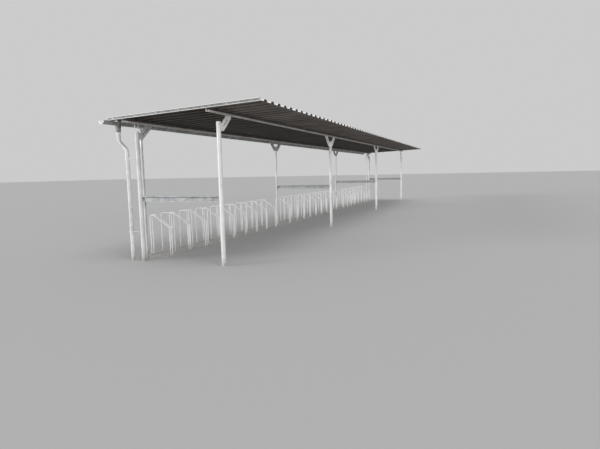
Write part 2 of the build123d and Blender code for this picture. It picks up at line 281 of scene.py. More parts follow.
def new_group(name: str, kind: str, inputs: list[tuple[str, str, object]],
              outputs: list[tuple[str, str]]) -> tuple[bpy.types.NodeTree, NodeSheet,
                                                       bpy.types.Node, bpy.types.Node]:
    """Makes an empty node group with named sockets.

    Args:
        name: Name of the group.
        kind: Blender's name for the kind of tree.
        inputs: Name, socket type and default value of each input.
        outputs: Name and socket type of each output.

    Returns:
        The tree, a sheet to add its nodes with, and its input and output nodes.
    """
    tree = bpy.data.node_groups.new(name, kind)
    for label, socket_type, default in inputs:
        socket = tree.interface.new_socket(label, in_out="INPUT", socket_type=socket_type)
        if default is not None:
            socket.default_value = default
    for label, socket_type in outputs:
        tree.interface.new_socket(label, in_out="OUTPUT", socket_type=socket_type)
    sheet = NodeSheet(tree)
    return tree, sheet, sheet.add("NodeGroupInput"), sheet.add("NodeGroupOutput")


# Shared shader effects


class Effects:
    """Shader node groups that several finishes share."""

    base_input = ("Color", "NodeSocketColor", (0.8, 0.8, 0.8, 1.0))
    colour_and_mask = [("Color", "NodeSocketColor"), ("Mask", "NodeSocketFloat")]
    cloud_edges: Span = (0.35, 0.65)
    cloud_swing: Span = (-0.5, 0.5)
    zinc_middle: float = 0.4
    zinc_roughening: float = 0.15
    run_squeeze: float = 0.06
    run_edges: Span = (0.5, 0.72)
    run_breaks: Span = (0.4, 0.62)
    run_strengths: Span = (0.15, 1.0)
    speck_edges: Span = (0.3, 0.7)
    speck_swing: Span = (-0.1, 0.1)
    splash_fade: Span = (0.05, 1.0)
    splash_falloff: float = 1.8
    # Patchiness of the band of painted shade
    grime_edges: Span = (0.3, 0.6)
    grime_strengths: Span = (0.85, 1.0)
    rust_edges: Span = (0.56, 0.68)
    rust_grain: Span = (0.35, 0.6)
    rust_strengths: Span = (0.4, 1.0)

    def __init__(self) -> None:
        """Builds every group once."""
        self.spangle = self.build_spangle()
        self.runs = self.build_runs()
        self.splash = self.build_splash()
        self.grime = self.build_grime()
        self.rust = self.build_rust()

    @staticmethod
    def lay(sheet: NodeSheet, inlet: bpy.types.Node, outlet: bpy.types.Node,
            amount: bpy.types.NodeSocket, layer: str) -> bpy.types.NodeTree:
        """Lays a colour over the base colour and puts out both the result and the mask.

        Args:
            sheet: Where the nodes go.
            inlet: Input node of the group.
            outlet: Output node of the group.
            amount: How much of the layer shows.
            layer: Name of the input with the layer's colour.

        Returns:
            The finished group.
        """
        colour = sheet.blend(amount, inlet.outputs["Color"], inlet.outputs[layer])
        sheet.tree.links.new(colour, outlet.inputs["Color"])
        sheet.tree.links.new(amount, outlet.inputs["Mask"])
        return sheet.tree

    def build_spangle(self) -> bpy.types.NodeTree:
        """Zinc crystals and cloudy patches of a hot-dip coating.

        Returns:
            A group that puts out a colour, a roughness and a height.
        """
        tree, sheet, inlet, outlet = new_group("zinc_spangle", "ShaderNodeTree", [
            ("Pale", "NodeSocketColor", (0.8, 0.8, 0.8, 1.0)),
            ("Dark", "NodeSocketColor", (0.4, 0.4, 0.4, 1.0)),
            ("Crystals per Metre", "NodeSocketFloat", 70.0),
            ("Crystal Contrast", "NodeSocketFloat", 0.5),
            ("Clouds per Metre", "NodeSocketFloat", 5.0),
            ("Cloud Contrast", "NodeSocketFloat", 0.5),
            ("Roughness", "NodeSocketFloat", 0.45),
        ], [
            ("Color", "NodeSocketColor"),
            ("Roughness", "NodeSocketFloat"),
            ("Height", "NodeSocketFloat"),
        ])
        place = sheet.place()
        crystals = sheet.add("ShaderNodeTexVoronoi", {
            "Vector": place,
            "Scale": inlet.outputs["Crystals per Metre"],
        })
        shade = sheet.add("ShaderNodeSeparateColor", {"Color": crystals.outputs["Color"]})
        crystal = sheet.maths("MULTIPLY", sheet.maths("SUBTRACT", shade.outputs["Red"], 0.5),
                              inlet.outputs["Crystal Contrast"])
        clouds = sheet.noise(place, inlet.outputs["Clouds per Metre"], detail=4.0, roughness=0.6)
        cloud = sheet.maths("MULTIPLY", sheet.remap(clouds, self.cloud_edges, self.cloud_swing),
                            inlet.outputs["Cloud Contrast"])
        mask = sheet.maths("ADD", sheet.maths("ADD", crystal, cloud), self.zinc_middle)
        clamped = sheet.remap(mask, UNIT)
        colour = sheet.blend(clamped, inlet.outputs["Pale"], inlet.outputs["Dark"])
        roughness = sheet.maths("ADD", inlet.outputs["Roughness"],
                                sheet.maths("MULTIPLY", clamped, self.zinc_roughening))
        tree.links.new(colour, outlet.inputs["Color"])
        tree.links.new(roughness, outlet.inputs["Roughness"])
        tree.links.new(shade.outputs["Green"], outlet.inputs["Height"])
        return tree

    def build_runs(self) -> bpy.types.NodeTree:
        """Dirt that rain has drawn down in upright runs.

        Returns:
            A group that puts out the dirtied colour and the mask of the dirt.
        """
        _, sheet, inlet, outlet = new_group("rain_runs", "ShaderNodeTree", [
            self.base_input,
            ("Dirt", "NodeSocketColor", (0.2, 0.18, 0.15, 1.0)),
            ("Amount", "NodeSocketFloat", 0.4),
            ("Runs per Metre", "NodeSocketFloat", 30.0),
        ], self.colour_and_mask)
        place = sheet.place()
        stretched = sheet.add("ShaderNodeMapping", {
            "Vector": place,
            "Scale": (1.0, 1.0, self.run_squeeze),
        })
        streaks = sheet.noise(stretched.outputs["Vector"], inlet.outputs["Runs per Metre"],
                              detail=3.0, roughness=0.55)
        breaks = sheet.noise(place, scale=3.0, detail=2.0)
        mask = sheet.maths("MULTIPLY", sheet.remap(streaks, self.run_edges),
                           sheet.remap(breaks, self.run_breaks, self.run_strengths))
        amount = sheet.maths("MULTIPLY", mask, inlet.outputs["Amount"])
        return self.lay(sheet, inlet, outlet, amount, "Dirt")

    def build_splash(self) -> bpy.types.NodeTree:
        """Soil that rain splashes up from the ground.

        Returns:
            A group that puts out the soiled colour and the mask of the soil.
        """
        _, sheet, inlet, outlet = new_group("ground_splash", "ShaderNodeTree", [
            self.base_input,
            ("Soil", "NodeSocketColor", (0.24, 0.2, 0.16, 1.0)),
            ("Height", "NodeSocketFloat", 0.3),
            ("Amount", "NodeSocketFloat", 0.7),
        ], self.colour_and_mask)
        place = sheet.place()
        height = sheet.split(place).outputs["Z"]
        specks = sheet.remap(sheet.noise(place, scale=45.0, detail=5.0), self.speck_edges,
                             self.speck_swing)
        ragged = sheet.maths("ADD", height, specks)
        share = sheet.maths("DIVIDE", ragged, inlet.outputs["Height"])
        fade = sheet.remap(share, self.splash_fade, FADE_OUT)
        amount = sheet.maths("MULTIPLY", sheet.maths("POWER", fade, self.splash_falloff),
                             inlet.outputs["Amount"])
        return self.lay(sheet, inlet, outlet, amount, "Soil")

    def build_grime(self) -> bpy.types.NodeTree:
        """A band of painted shade, for shade in recesses and under the roof, which may fall with
        the roof.

        Returns:
            A group that puts out the shaded colour and the mask of the painted shade.
        """
        _, sheet, inlet, outlet = new_group("sheltered_grime", "ShaderNodeTree", [
            self.base_input,
            ("Painted Shade", "NodeSocketColor", (0.03, 0.027, 0.025, 1.0)),
            ("From Height", "NodeSocketFloat", 2.5),
            ("To Height", "NodeSocketFloat", 3.0),
            ("Fall per Metre", "NodeSocketFloat", 0.0),
            ("Back Limit", "NodeSocketFloat", 10.0),
            ("Fade", "NodeSocketFloat", 0.003),
            ("Amount", "NodeSocketFloat", 0.95),
        ], self.colour_and_mask)
        place = sheet.place()
        spot = sheet.split(place)
        fall = sheet.maths("MULTIPLY", spot.outputs["Y"], inlet.outputs["Fall per Metre"])
        height = sheet.maths("ADD", spot.outputs["Z"], fall)
        patches = sheet.noise(place, scale=14.0, detail=4.0)
        edges = []
        for first, second in ((height, inlet.outputs["From Height"]),
                              (inlet.outputs["To Height"], height),
                              (inlet.outputs["Back Limit"], spot.outputs["Y"])):
            inside = sheet.maths("SUBTRACT", first, second)
            edges.append(sheet.remap(sheet.maths("DIVIDE", inside, inlet.outputs["Fade"]), UNIT))
        band = sheet.maths("MULTIPLY", sheet.maths("MULTIPLY", edges[0], edges[1]), edges[2])
        patchy = sheet.maths("MULTIPLY", band,
                             sheet.remap(patches, self.grime_edges, self.grime_strengths))
        amount = sheet.maths("MULTIPLY", patchy, inlet.outputs["Amount"])
        return self.lay(sheet, inlet, outlet, amount, "Painted Shade")

    def build_rust(self) -> bpy.types.NodeTree:
        """Scattered patches where rust has come through the zinc.

        Returns:
            A group that puts out the rusted colour and the mask of the rust.
        """
        _, sheet, inlet, outlet = new_group("rust_patches", "ShaderNodeTree", [
            self.base_input,
            ("Rust", "NodeSocketColor", (0.11, 0.047, 0.022, 1.0)),
            ("Patches per Metre", "NodeSocketFloat", 1.1),
            ("Amount", "NodeSocketFloat", 0.6),
        ], self.colour_and_mask)
        place = sheet.place()
        patches = sheet.noise(place, inlet.outputs["Patches per Metre"], detail=5.0,
                              roughness=0.55)
        grain = sheet.noise(place, scale=35.0, detail=3.0)
        mask = sheet.maths("MULTIPLY", sheet.remap(patches, self.rust_edges),
                           sheet.remap(grain, self.rust_grain, self.rust_strengths))
        amount = sheet.maths("MULTIPLY", mask, inlet.outputs["Amount"])
        return self.lay(sheet, inlet, outlet, amount, "Rust")


# Finishes


@dataclass(frozen=True)
class PaintedShadeBand:
    """Where painted shade lies: its heights at the origin, its fall to the back and its last Y."""

    start: float
    end: float
    fall: float = 0.0
    back: float = 10.0
    amount: float = 0.95


@dataclass(frozen=True)
class Galvanised:
    """A hot-dip zinc finish with rain runs, soil near the ground and, where given, a band of
    painted shade.
    """

    name: str
    pale: Colour
    dark: Colour
    crystals: float = 70.0
    crystal_contrast: float = 0.5
    clouds: float = 5.0
    cloud_contrast: float = 0.5
    roughness: float = 0.45
    metallic: float = 0.35
    dirt: Colour = (0.16, 0.14, 0.115)
    run_amount: float = 0.35
    runs: float = 30.0
    splash_height: float = 0.3
    splash_amount: float = 0.6
    bump: float = 0.08
    dirt_roughening: float = 0.3
    grime: PaintedShadeBand | None = None

    def surface(self, sheet: NodeSheet, effects: Effects) -> tuple[bpy.types.NodeSocket, ...]:
        """Lays the zinc, the runs, the soil and any band of painted shade over each other.

        Args:
            sheet: Where the nodes go.
            effects: The shared groups.

        Returns:
            The colour, the roughness and the height of the finish.
        """
        zinc = sheet.group(effects.spangle, {
            "Pale": opaque(self.pale),
            "Dark": opaque(self.dark),
            "Crystals per Metre": self.crystals,
            "Crystal Contrast": self.crystal_contrast,
            "Clouds per Metre": self.clouds,
            "Cloud Contrast": self.cloud_contrast,
            "Roughness": self.roughness,
        })
        runs = sheet.group(effects.runs, {
            "Color": zinc.outputs["Color"],
            "Dirt": opaque(self.dirt),
            "Amount": self.run_amount,
            "Runs per Metre": self.runs,
        })
        soil = sheet.group(effects.splash, {
            "Color": runs.outputs["Color"],
            "Height": self.splash_height,
            "Amount": self.splash_amount,
        })
        dirt = sheet.maths("MAXIMUM", runs.outputs["Mask"], soil.outputs["Mask"])
        roughness = sheet.maths("ADD", zinc.outputs["Roughness"],
                                sheet.maths("MULTIPLY", dirt, self.dirt_roughening))
        colour = soil.outputs["Color"]
        if self.grime is not None:
            band = sheet.group(effects.grime, {
                "Color": colour,
                "From Height": self.grime.start,
                "To Height": self.grime.end,
                "Fall per Metre": self.grime.fall,
                "Back Limit": self.grime.back,
                "Amount": self.grime.amount,
            })
            colour = band.outputs["Color"]
        return colour, roughness, zinc.outputs["Height"]

    def make(self, effects: Effects) -> bpy.types.Material:
        """Builds the material.

        Args:
            effects: The shared groups.

        Returns:
            The finished material.
        """
        material, sheet, shader = new_material(self.name)
        colour, roughness, height = self.surface(sheet, effects)
        join_shader(sheet, shader, colour, roughness, height, self.bump)
        shader.inputs["Metallic"].default_value = self.metallic
        return material


@dataclass(frozen=True)
class RoofSheet:
    """Ribbed sheet: pale zinc above, weathered brown-grey below, with painted shade in the rib
    hollows and further in under the roof.
    """

    name: str
    outside: Galvanised
    under_pale: Colour
    under_dark: Colour
    shade_colour: Colour
    hollow_z: float
    slope: float
    front_y: float
    rib_depth: float = 0.035
    hollow_shade: float = 0.93
    hollow_edges: Span = (0.1, 0.9)
    inner_shade: float = 0.8
    inner_fade: float = 0.2
    patches: float = 1.6
    patch_edges: Span = (0.35, 0.68)
    facing_edges: Span = (-0.06, 0.06)
    under_roughening: float = 0.2
    metallic: float = 0.2

    def make(self, effects: Effects) -> bpy.types.Material:
        """Builds the material, which tells the two faces apart by their normals.

        Args:
            effects: The shared groups.

        Returns:
            The finished material.
        """
        material, sheet, shader = new_material(self.name)
        colour, roughness, height = self.outside.surface(sheet, effects)
        facing = sheet.split(sheet.add("ShaderNodeNewGeometry").outputs["Normal"]).outputs["Z"]
        below = sheet.remap(facing, self.facing_edges, FADE_OUT)
        place = sheet.place()
        noise = sheet.noise(place, self.patches, detail=6.0, roughness=0.62)
        patch = sheet.remap(noise, self.patch_edges)
        under = sheet.blend(patch, opaque(self.under_pale), opaque(self.under_dark))
        spot = sheet.split(place)
        fall = sheet.maths("MULTIPLY", spot.outputs["Y"], math.tan(self.slope))
        rise = sheet.maths("SUBTRACT", sheet.maths("ADD", spot.outputs["Z"], fall), self.hollow_z)
        # Painted shade in the rib hollows: the underside darkens the higher it lies above the
        # valleys.
        hollow_start, hollow_end = (share * self.rib_depth for share in self.hollow_edges)
        hollow = sheet.remap(rise, (hollow_start, hollow_end), (0.0, self.hollow_shade))
        under = sheet.blend(hollow, under, opaque(self.shade_colour))
        # Painted shade under the roof: the underside darkens from the front beam inwards.
        inward = sheet.remap(spot.outputs["Y"], (self.front_y, self.front_y + self.inner_fade),
                             (0.0, self.inner_shade))
        under = sheet.blend(inward, under, opaque(self.shade_colour))
        rusted = sheet.group(effects.rust, {"Color": under})
        both = sheet.blend(below, colour, rusted.outputs["Color"])
        rough = sheet.maths("ADD", roughness, sheet.maths("MULTIPLY", below, self.under_roughening))
        join_shader(sheet, shader, both, rough, height, self.outside.bump)
        shader.inputs["Metallic"].default_value = self.metallic
        return material


@dataclass(frozen=True)
class Plain:
    """Plastic, rubber or bare metal with a faint mottle."""

    name: str
    base: Colour
    mottle: Colour
    scale: float = 40.0
    mottle_edges: Span = (0.3, 0.7)
    roughness: float = 0.5
    roughness_swing: float = 0.08
    metallic: float = 0.0
    bump: float = 0.05
    splash_height: float = 0.2
    splash_amount: float = 0.4

    def make(self, effects: Effects) -> bpy.types.Material:
        """Builds the material.

        Args:
            effects: The shared groups.

        Returns:
            The finished material.
        """
        material, sheet, shader = new_material(self.name)
        noise = sheet.noise(sheet.place(), self.scale, detail=5.0)
        spread = sheet.remap(noise, self.mottle_edges)
        colour = sheet.blend(spread, opaque(self.base), opaque(self.mottle))
        soil = sheet.group(effects.splash, {
            "Color": colour,
            "Height": self.splash_height,
            "Amount": self.splash_amount,
        })
        roughness = sheet.remap(noise, self.mottle_edges, (self.roughness - self.roughness_swing,
                                                           self.roughness + self.roughness_swing))
        join_shader(sheet, shader, soil.outputs["Color"], roughness, noise, self.bump)
        shader.inputs["Metallic"].default_value = self.metallic
        return material


def new_material(name: str) -> tuple[bpy.types.Material, NodeSheet, bpy.types.Node]:
    """Makes a material that holds one Principled shader.

    Args:
        name: Name of the material.

    Returns:
        The material, a sheet to add nodes with, and the shader node.
    """
    material = bpy.data.materials.new(name)
    material.use_nodes = True
    sheet = NodeSheet(material.node_tree)
    return material, sheet, material.node_tree.nodes["Principled BSDF"]


def join_shader(sheet: NodeSheet, shader: bpy.types.Node, colour: bpy.types.NodeSocket,
                roughness: bpy.types.NodeSocket, height: bpy.types.NodeSocket,
                strength: float) -> None:
    """Feeds a colour, a roughness and a bump into the shader.

    Args:
        sheet: Where the nodes go.
        shader: The Principled shader.
        colour: Base colour.
        roughness: Roughness.
        height: Height of the bump.
        strength: Strength of the bump.
    """
    bump = sheet.add("ShaderNodeBump", {
        "Height": height,
        "Strength": strength,
        "Distance": BUMP_DEPTH,
    })
    sheet.tree.links.new(colour, shader.inputs["Base Color"])
    sheet.tree.links.new(roughness, shader.inputs["Roughness"])
    sheet.tree.links.new(bump.outputs["Normal"], shader.inputs["Normal"])


class Finishes:
    """Every material of the shelter, by the place it is used."""

    def __init__(self, effects: Effects, layout: Layout) -> None:
        """Builds the materials.

        Args:
            effects: The shared groups.
            layout: Layout of the shelter.
        """
        self.effects = effects
        self.layout = layout
        self.make_steel()
        self.make_beams()
        self.make_roof()
        self.make_drainage()
        self.make_small_parts()

    def zinc(self, name: str, pale: Colour, dark: Colour, **values: object) -> bpy.types.Material:
        """Makes a zinc-coated finish from its two tones and the values that differ."""
        return Galvanised(name, pale, dark, **values).make(self.effects)

    def plain(self, name: str, base: Colour, mottle: Colour,
              **values: float) -> bpy.types.Material:
        """Makes a plain finish from its two tones and the values that differ."""
        return Plain(name, base, mottle, **values).make(self.effects)

    def make_steel(self) -> None:
        """Makes the finishes of the tubes, the arms and the profiles."""
        self.tube = self.zinc(
            "galvanised_tube", (0.87, 0.875, 0.86), (0.69, 0.70, 0.695), crystals=55.0,
            crystal_contrast=0.3, clouds=3.0, cloud_contrast=0.6, run_amount=0.25,
            splash_height=0.28, metallic=0.1)
        # A darker copy of the tube finish for the back posts: painted shade, for posts sheltered
        # under the roof.
        self.shaded_back_tube = self.zinc(
            "galvanised_back_tube_painted_shade", (0.74, 0.745, 0.73), (0.53, 0.54, 0.535), crystals=55.0,
            crystal_contrast=0.3, clouds=3.0, cloud_contrast=0.6, run_amount=0.3,
            splash_height=0.28, metallic=0.1)
        # The arms' pale zinc, made near-white as painted light on their faces.
        self.arm = self.zinc(
            "galvanised_arm_painted_light", (0.97, 0.975, 0.965), (0.84, 0.85, 0.845), crystals=60.0,
            crystal_contrast=0.45, clouds=9.0, cloud_contrast=0.5, run_amount=0.2, metallic=0.1)
        # A darker copy of the arm finish for the back arms: painted shade under the roof and the
        # gutter.
        self.shaded_back_arm = self.zinc(
            "galvanised_back_arm_painted_shade", (0.62, 0.60, 0.59), (0.40, 0.385, 0.38), crystals=60.0,
            crystal_contrast=0.4, clouds=9.0, cloud_contrast=0.6, run_amount=0.3, metallic=0.1)
        # Paler than the other profiles: painted light, so the struts under the roof read lit.
        self.strut = self.zinc(
            "galvanised_strut_painted_light", (0.86, 0.865, 0.86), (0.66, 0.67, 0.67), crystals=60.0,
            crystal_contrast=0.4, clouds=9.0, cloud_contrast=0.6, run_amount=0.25, metallic=0.1)
        self.profile = self.zinc(
            "galvanised_profile", (0.43, 0.44, 0.45), (0.25, 0.26, 0.272), crystals=60.0,
            crystal_contrast=0.5, clouds=12.0, cloud_contrast=0.9, run_amount=0.25, metallic=0.2)

    def make_beams(self) -> None:
        """Makes a finish for each beam, with painted shade on its front above the lower lip, where
        the roof shades the channel.
        """
        self.beams: dict[str, bpy.types.Material] = {}
        for side in Side:
            name = f"{side.value}_beam"
            low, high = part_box(name)
            self.beams[name] = self.zinc(
                f"galvanised_{name}", (0.78, 0.73, 0.69), (0.52, 0.485, 0.455), crystals=45.0,
                crystal_contrast=0.35, clouds=5.0, cloud_contrast=0.8, run_amount=0.35,
                metallic=0.2, grime=PaintedShadeBand(low.z + self.layout.beam_lip, high.z,
                                              back=high.y - self.layout.beam_wall / 2))

    def make_roof(self) -> None:
        """Makes the finishes of the ribbed sheets and the gable trims."""
        layout = self.layout
        outside = Galvanised(
            "sheet_outside", (0.80, 0.805, 0.80), (0.60, 0.605, 0.61), crystals=90.0,
            crystal_contrast=0.4, clouds=1.2, cloud_contrast=0.7, run_amount=0.2,
            splash_amount=0.0)
        # The underside darkens towards a near-black shade colour: painted shade in the rib hollows
        # and further in.
        self.sheet = RoofSheet(
            "roof_sheet", outside, (0.275, 0.236, 0.216), (0.138, 0.118, 0.108),
            shade_colour=(0.019, 0.014, 0.006), hollow_z=layout.sheet_underside(0.0),
            slope=layout.roof_slope, front_y=layout.front_y).make(self.effects)
        # The trim's web between its hems gets a band of painted shade, so that only the hems read
        # light.
        low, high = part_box("gable_trim_start")
        fall = math.tan(layout.roof_slope)
        top = high.z + low.y * fall - layout.trim_hem
        foot = low.z + high.y * fall + layout.trim_hem
        self.trim = self.zinc(
            "roof_trim", (0.80, 0.805, 0.80), (0.58, 0.585, 0.58), crystals=80.0, clouds=4.0,
            run_amount=0.35, splash_amount=0.0, metallic=0.1,
            grime=PaintedShadeBand(foot, top, fall, amount=0.8))

    def make_drainage(self) -> None:
        """Makes the finishes of the gutter, the outlet and the downpipe."""
        # Darker than the pipe's zinc: painted shade, for the gutter in shade at the back of the
        # roof.
        self.gutter = self.zinc(
            "gutter_zinc", (0.50, 0.50, 0.485), (0.27, 0.275, 0.27), crystals=75.0,
            crystal_contrast=0.35, clouds=7.0, cloud_contrast=0.9, run_amount=0.5,
            splash_amount=0.0)
        self.funnel = self.zinc(
            "funnel_zinc", (0.36, 0.36, 0.33), (0.20, 0.20, 0.185), crystals=75.0,
            crystal_contrast=0.3, clouds=9.0, cloud_contrast=0.9, run_amount=0.5,
            splash_amount=0.0, metallic=0.2)
        self.pipe = self.zinc(
            "pipe_zinc", (0.76, 0.77, 0.76), (0.50, 0.515, 0.51), crystals=75.0,
            crystal_contrast=0.3, clouds=7.0, cloud_contrast=0.7, run_amount=0.3,
            splash_height=0.25, metallic=0.15)

    def make_small_parts(self) -> None:
        """Makes the finishes of the rack, the caps, the fasteners, the welds and the holes."""
        self.rack = self.zinc(
            "rack_steel", (0.90, 0.91, 0.90), (0.68, 0.69, 0.69), crystals=90.0, clouds=9.0,
            run_amount=0.25, splash_height=0.22, splash_amount=0.6, metallic=0.2)
        self.cap = self.plain("cap", (0.80, 0.80, 0.78), (0.68, 0.68, 0.66), roughness=0.45)
        self.collar = self.plain("collar_plastic", (0.93, 0.93, 0.92), (0.84, 0.84, 0.82),
                                 roughness=0.4)
        self.bolt = self.plain("bolt_zinc", (0.66, 0.66, 0.65), (0.42, 0.41, 0.39), scale=120.0,
                               roughness=0.38, metallic=0.6)
        self.rubber = self.plain("washer_rubber", (0.035, 0.035, 0.036), (0.06, 0.058, 0.055),
                                 scale=60.0, roughness=0.8)
        self.weld = self.plain("weld_bead", (0.6, 0.6, 0.59), (0.38, 0.36, 0.33), scale=160.0,
                               roughness=0.5, metallic=0.4, bump=0.3)
        # Near-black plates stand for the arms' oblong holes: painted shade where the real arm is
        # open.
        self.hole = self.plain("hole_shade", (0.03, 0.03, 0.03), (0.045, 0.042, 0.04), scale=50.0,
                               roughness=0.9)


# Geometry tools


def add_object(name: str, data: bpy.types.ID) -> bpy.types.Object:
    """Puts a mesh, a light or a camera into the scene as an object.

    Args:
        name: Name of the object.
        data: What the object shows.

    Returns:
        The new object.
    """
    obj = bpy.data.objects.new(name, data)
    bpy.context.scene.collection.objects.link(obj)
    return obj


def points_mesh(name: str, spots: list[tuple[Vector, ...]],
                labels: tuple[str, ...] = ("axis",)) -> bpy.types.Object:
    """Makes loose points that carry the directions in which each copy looks.

    Args:
        name: Name of the object.
        spots: Place of each point, then its directions.
        labels: Attribute name of each direction.

    Returns:
        The object with its points.
    """
    mesh = bpy.data.meshes.new(name)
    mesh.from_pydata([tuple(spot[0]) for spot in spots], [], [])
    for number, label in enumerate(labels, start=1):
        ways = mesh.attributes.new(label, "FLOAT_VECTOR", "POINT")
        ways.data.foreach_set("vector", [value for spot in spots for value in spot[number]])
    return add_object(name, mesh)


def lines_mesh(name: str, lines: list[list[Vector]]) -> bpy.types.Object:
    """Makes open lines of edges, one for each run of points.

    Args:
        name: Name of the object.
        lines: The points of each line in order.

    Returns:
        The object with its edges.
    """
    points = [tuple(point) for line in lines for point in line]
    edges = []
    start = 0
    for line in lines:
        edges += [(start + step, start + step + 1) for step in range(len(line) - 1)]
        start += len(line)
    mesh = bpy.data.meshes.new(name)
    mesh.from_pydata(points, edges, [])
    return add_object(name, mesh)


def ring(centre: Vector, radius: float, sides: int) -> list[Vector]:
    """Points of a level circle.

    Args:
        centre: Middle of the circle.
        radius: Radius of the circle.
        sides: Number of points.

    Returns:
        The points in order.
    """
    angles = [math.tau * step / sides for step in range(sides)]
    return [centre + Vector((radius * math.cos(angle), radius * math.sin(angle), 0))
            for angle in angles]


class MeshDraft:
    """Collects the skins of one piece and makes its object."""

    crease = math.radians(32)

    def __init__(self) -> None:
        """Starts with nothing."""
        self.points: list[tuple[float, ...]] = []
        self.faces: list[tuple[int, ...]] = []

    def skin(self, rows: list[list[Vector]], around: bool = False, capped: bool = False) -> None:
        """Lays a skin over rows of points, each row closed on itself.

        Args:
            rows: Rows with the same number of points.
            around: Whether the last row joins the first.
            capped: Whether the first and the last row are closed by a face.
        """
        start = len(self.points)
        width = len(rows[0])
        self.points += [tuple(point) for row in rows for point in row]
        for row in range(len(rows) if around else len(rows) - 1):
            here = start + row * width
            there = start + (row + 1) % len(rows) * width
            for step in range(width):
                after = (step + 1) % width
                self.faces.append((here + step, here + after, there + after, there + step))
        if capped:
            self.faces.append(tuple(start + step for step in range(width)))
            last = start + (len(rows) - 1) * width
            self.faces.append(tuple(last + step for step in range(width)))

    def turn(self, centre: Vector, outline: list[Span], sides: int) -> None:
        """Turns a closed outline round an upright axis.

        Args:
            centre: Point on the axis.
            outline: Radius and height of each corner, from that point.
            sides: Steps of the turn.
        """
        self.skin([ring(centre + UP * rise, radius, sides) for radius, rise in outline],
                  around=True)

    def finish(self, name: str, material: bpy.types.Material) -> bpy.types.Object:
        """Makes the object, with its faces outwards and its curves smooth.

        Args:
            name: Name of the piece.
            material: Its material.

        Returns:
            The new object.
        """
        mesh = bpy.data.meshes.new(name)
        mesh.from_pydata(self.points, [], self.faces)
        work = bmesh.new()
        work.from_mesh(mesh)
        bmesh.ops.recalc_face_normals(work, faces=work.faces)
        work.to_mesh(mesh)
        work.free()
        mesh.shade_smooth()
        mesh.set_sharp_from_angle(angle=self.crease)
        mesh.materials.append(material)
        return add_object(name, mesh)


def run_tree(obj: bpy.types.Object, tree: bpy.types.NodeTree, values: dict[str, object]) -> (
        bpy.types.Object):
    """Runs a geometry tree on an object and leaves the result as a plain mesh.

    Args:
        obj: The object that the tree reads.
        tree: The geometry tree.
        values: Input values by socket name.

    Returns:
        The same object with the finished mesh and no modifier.
    """
    modifier = obj.modifiers.new("make", "NODES")
    modifier.node_group = tree
    keys = {item.name: item.identifier for item in tree.interface.items_tree
            if item.item_type == "SOCKET" and item.in_out == "INPUT"}
    for label, value in values.items():
        modifier[keys[label]] = value
    bpy.context.view_layer.update()
    graph = bpy.context.evaluated_depsgraph_get()
    made = bpy.data.meshes.new_from_object(obj.evaluated_get(graph))
    obj.modifiers.remove(modifier)
    obj.data = made
    made.name = obj.name
    return obj


def settle(obj: bpy.types.Object) -> None:
    """Ties a finished piece to the shelter.

    Args:
        obj: The piece.
    """
    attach(obj, BODY)
    LOG.info("%s: %d faces", obj.name, len(obj.data.polygons))


@dataclass(frozen=True)
class Fastener:
    """Sizes of a hexagon head and of the washer under it, in metres."""

    head_width: float
    head_height: float
    washer_width: float
    washer_height: float


